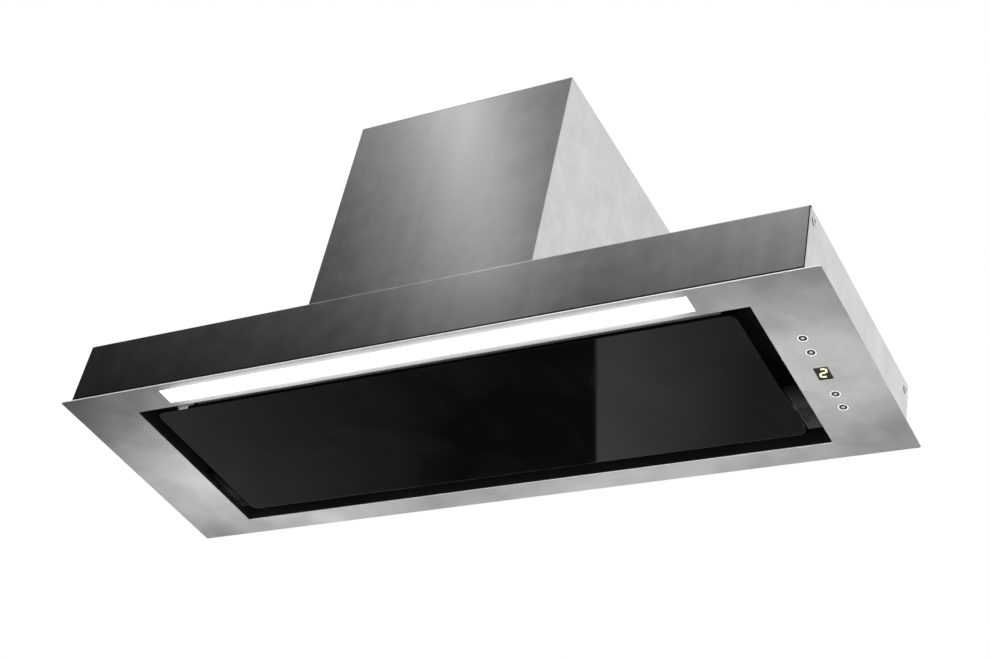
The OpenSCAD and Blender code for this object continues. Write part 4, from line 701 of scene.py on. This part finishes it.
# Brightness round the studio. A turn is a compass angle in degrees, 0 behind the hood and -90 on
# its left. A reach is how far a direction leans to the right, from -1 to 1. A climb is its angle
# up from the level, in degrees, seen from the hood's end. Four numbers are two levels and the two
# reaches or climbs where they hold, and in stripLean the levels are the strip's own reach
worldLook = {
    "behind": 1.04, "right": 0.45, "backFade": (95.0, 120.0), "horizon": 0.04,
    "wing": (0.02, 0.10, -0.65, -0.55), "cardEdge": (-0.530, -0.519),
    "cardNear": (0.30, 0.16, -0.51, -0.44), "cardFar": (0.0, 0.36, -0.435, -0.31),
    "climb": (0.60, 1.50, 41.0, 50.0), "folds": 90.0, "foldDepth": 0.20,
    "strip": 1.75, "stripLean": (-0.484, -0.461, 44.8, 49.8), "stripWidth": 0.016,
    "stripClimb": (42.4, 48.8),
    "below": 0.40, "flagLeft": (-80.0, -62.0), "flagRight": (-10.0, 8.0),
}


# Angle of a direction, in degrees, from two of its parts
def angle(tree, side, ahead):
    return calc(tree, "MULTIPLY", calc(tree, "ARCTAN2", side, ahead), 180 / math.pi)


def makeWorld(look):
    world = bpy.data.worlds.new("studioWorld")
    world.use_nodes = True
    tree = world.node_tree
    tree.nodes.clear()
    towards = splitVector(tree, addNode(tree, "ShaderNodeTexCoord").outputs["Generated"])
    reach, depth, height = towards["X"], towards["Y"], towards["Z"]
    turn = angle(tree, reach, depth)
    climb = angle(tree, height, calc(tree, "MULTIPLY", depth, -1.0))
    # In front a dark wing, then the edge of a large card with a tall bright strip on it
    edge = spread(tree, reach, 0.0, 1.0, *look["cardEdge"])
    card = calc(tree, "ADD", spread(tree, reach, *look["cardNear"]), spread(tree, reach, *look["cardFar"]))
    front = blendValue(tree, edge, card, spread(tree, reach, *look["wing"]))
    front = calc(tree, "MULTIPLY", front, spread(tree, climb, *look["climb"]))
    folds = addNode(tree, "ShaderNodeTexNoise", {"W": reach, "Scale": look["folds"], "Detail": 3.0},
                    noise_dimensions="1D").outputs["Fac"]
    front = calc(tree, "MULTIPLY", front, swing(tree, folds, look["foldDepth"], 1.0))
    strip = bell(tree, reach, spread(tree, climb, *look["stripLean"]), look["stripWidth"])
    rise = spread(tree, climb, 0.0, look["strip"], *look["stripClimb"])
    front = calc(tree, "ADD", front, calc(tree, "MULTIPLY", strip, rise))
    onRight = calc(tree, "GREATER_THAN", turn, 0.0)
    front = calc(tree, "MAXIMUM", front, calc(tree, "MULTIPLY", onRight, look["right"]))
    back = spread(tree, calc(tree, "ABSOLUTE", turn), 1.0, 0.0, *look["backFade"])
    upper = blendValue(tree, back, look["behind"], front)
    # Below, a black flag behind the hood keeps the steel and the glass for the lamps
    flag = calc(tree, "MULTIPLY", spread(tree, turn, 0.0, 1.0, *look["flagLeft"]),
                spread(tree, turn, 1.0, 0.0, *look["flagRight"]))
    lower = calc(tree, "MULTIPLY", calc(tree, "SUBTRACT", 1.0, flag), look["below"])
    aloft = spread(tree, height, 0.0, 1.0, -look["horizon"], look["horizon"])
    level = blendValue(tree, aloft, upper, lower)
    # All this lights the hood, while the camera itself sees plain white
    lit = addNode(tree, "ShaderNodeBackground", {"Color": (1, 1, 1, 1), "Strength": level})
    seen = addNode(tree, "ShaderNodeBackground", {"Color": (1, 1, 1, 1), "Strength": 1.0})
    ray = addNode(tree, "ShaderNodeLightPath").outputs["Is Camera Ray"]
    mix = addNode(tree, "ShaderNodeMixShader", {0: ray, 1: lit.outputs[0], 2: seen.outputs[0]})
    addNode(tree, "ShaderNodeOutputWorld", {"Surface": mix.outputs[0]})
    bpy.context.scene.world = world


# Soft lamps: place, the point they face, size and level, and the only nodes that they light.
# A bell is an amount, its middle and its widths. A fade is two levels and the distances past the
# card's edge where they hold
lampLook = {
    "overhead": {"place": (0.2, 0.3, 2.6), "aim": (0, 0, 0), "size": (2.4, 2.4), "level": 3.0,
                 "mirrored": False},
    "underPlate": {"place": (-0.50, 0.75, -0.60), "aim": (-0.50, 0.75, 0.0), "size": (2.4, 1.1),
                   "level": 1.6, "only": ("face_plate",),
                   "bells": ((0.80, -0.464, 0.49, 0.50, 0.08), (2.35, -1.05, 0.755, 0.28, 0.06),
                             (1.60, 0.106, 0.72, 0.40, 0.07), (2.30, -0.42, 0.985, 0.44, 0.05),
                             (1.60, -0.95, 0.985, 0.17, 0.05))},
    "underGlass": {"place": (-0.50, 0.75, -0.62), "aim": (-0.50, 0.75, 0.0), "size": (2.4, 1.1),
                   "level": 1.0, "only": ("glass_panel",),
                   "edgeAt": (-0.298, 0.7425), "edgeTurn": 25.3, "edgeSoft": 0.003,
                   "nearFade": (1.15, 0.30, 0.0, 0.25), "farFade": (0.42, 0.0, -0.70, -0.25)},
    "underBezels": {"place": (0.16, 0.75, -0.60), "aim": (0.16, 0.75, 0.0), "size": (0.7, 0.7),
                    "level": 1.3, "only": ("button_bezels",)},
    "edgeCard": {"place": (0.60, -1.60, -0.70), "aim": (0.2, 0.0, 0.0), "size": (0.8, 0.5),
                 "level": 25.0, "only": ("face_plate",)},
    "byCamera": {"place": (0.94, -1.30, -1.06), "aim": (0.0, 0.0, 0.0), "size": (0.06, 0.06),
                 "level": 1400.0, "only": ("panel_clip", "filter_frame_left", "filter_frame_right",
                                           "filter_divider", "clip_lip")},
}


# How far a place lies past a line through a point, on the level
def pastLine(tree, x, y, point, turn):
    return calc(tree, "ADD", calc(tree, "MULTIPLY", calc(tree, "SUBTRACT", x, point[0]), math.cos(turn)),
                calc(tree, "MULTIPLY", calc(tree, "SUBTRACT", y, point[1]), math.sin(turn)))


# Brightness over a level lamp: soft bells, or a pair of cards that fade away from a sharp edge
def paintLamp(data, look):
    data.use_nodes = True
    tree = data.node_tree
    tree.nodes.clear()
    at = splitVector(tree, addNode(tree, "ShaderNodeNewGeometry").outputs["Position"])
    total = 0.0
    for amount, x, y, wide, deep in look.get("bells", ()):
        hump = calc(tree, "MULTIPLY", bell(tree, at["X"], x, wide), bell(tree, at["Y"], y, deep))
        total = calc(tree, "ADD", calc(tree, "MULTIPLY", hump, amount), total)
    if "edgeAt" in look:
        across = pastLine(tree, at["X"], at["Y"], look["edgeAt"], math.radians(look["edgeTurn"]))
        near = calc(tree, "MULTIPLY", spread(tree, across, *look["nearFade"]),
                    spread(tree, across, 0.0, 1.0, -look["edgeSoft"], look["edgeSoft"]))
        total = calc(tree, "ADD", near, spread(tree, across, *look["farFade"]))
    glow = addNode(tree, "ShaderNodeEmission", {"Strength": total})
    addNode(tree, "ShaderNodeOutputLight", {"Surface": glow.outputs[0]})


def makeLamp(name, look):
    data = bpy.data.lights.new(name, "AREA")
    data.shape = "RECTANGLE"
    wide, deep = look["size"]
    data.size = wide
    data.size_y = deep
    data.energy = look["level"] * (wide * deep) * math.pi
    if "bells" in look or "edgeAt" in look:
        paintLamp(data, look)
    lamp = bpy.data.objects.new(name, data)
    lamp.location = look["place"]
    towards = Vector(look["aim"]) - Vector(look["place"])
    lamp.rotation_euler = towards.to_track_quat("-Z", "Y").to_euler()
    lamp.visible_camera = False
    lamp.visible_glossy = look.get("mirrored", True)
    bpy.context.scene.collection.objects.link(lamp)
    if "only" in look:
        lit = bpy.data.collections.new(name + "Lit")
        for node in look["only"]:
            lit.objects.link(bpy.data.objects[node])
        lamp.light_linking.receiver_collection = lit


makeFloor(floorLook)
makeWorld(worldLook)
for name, look in lampLook.items():
    makeLamp(name, look)
print("studio lit by", len(lampLook), "lamps")
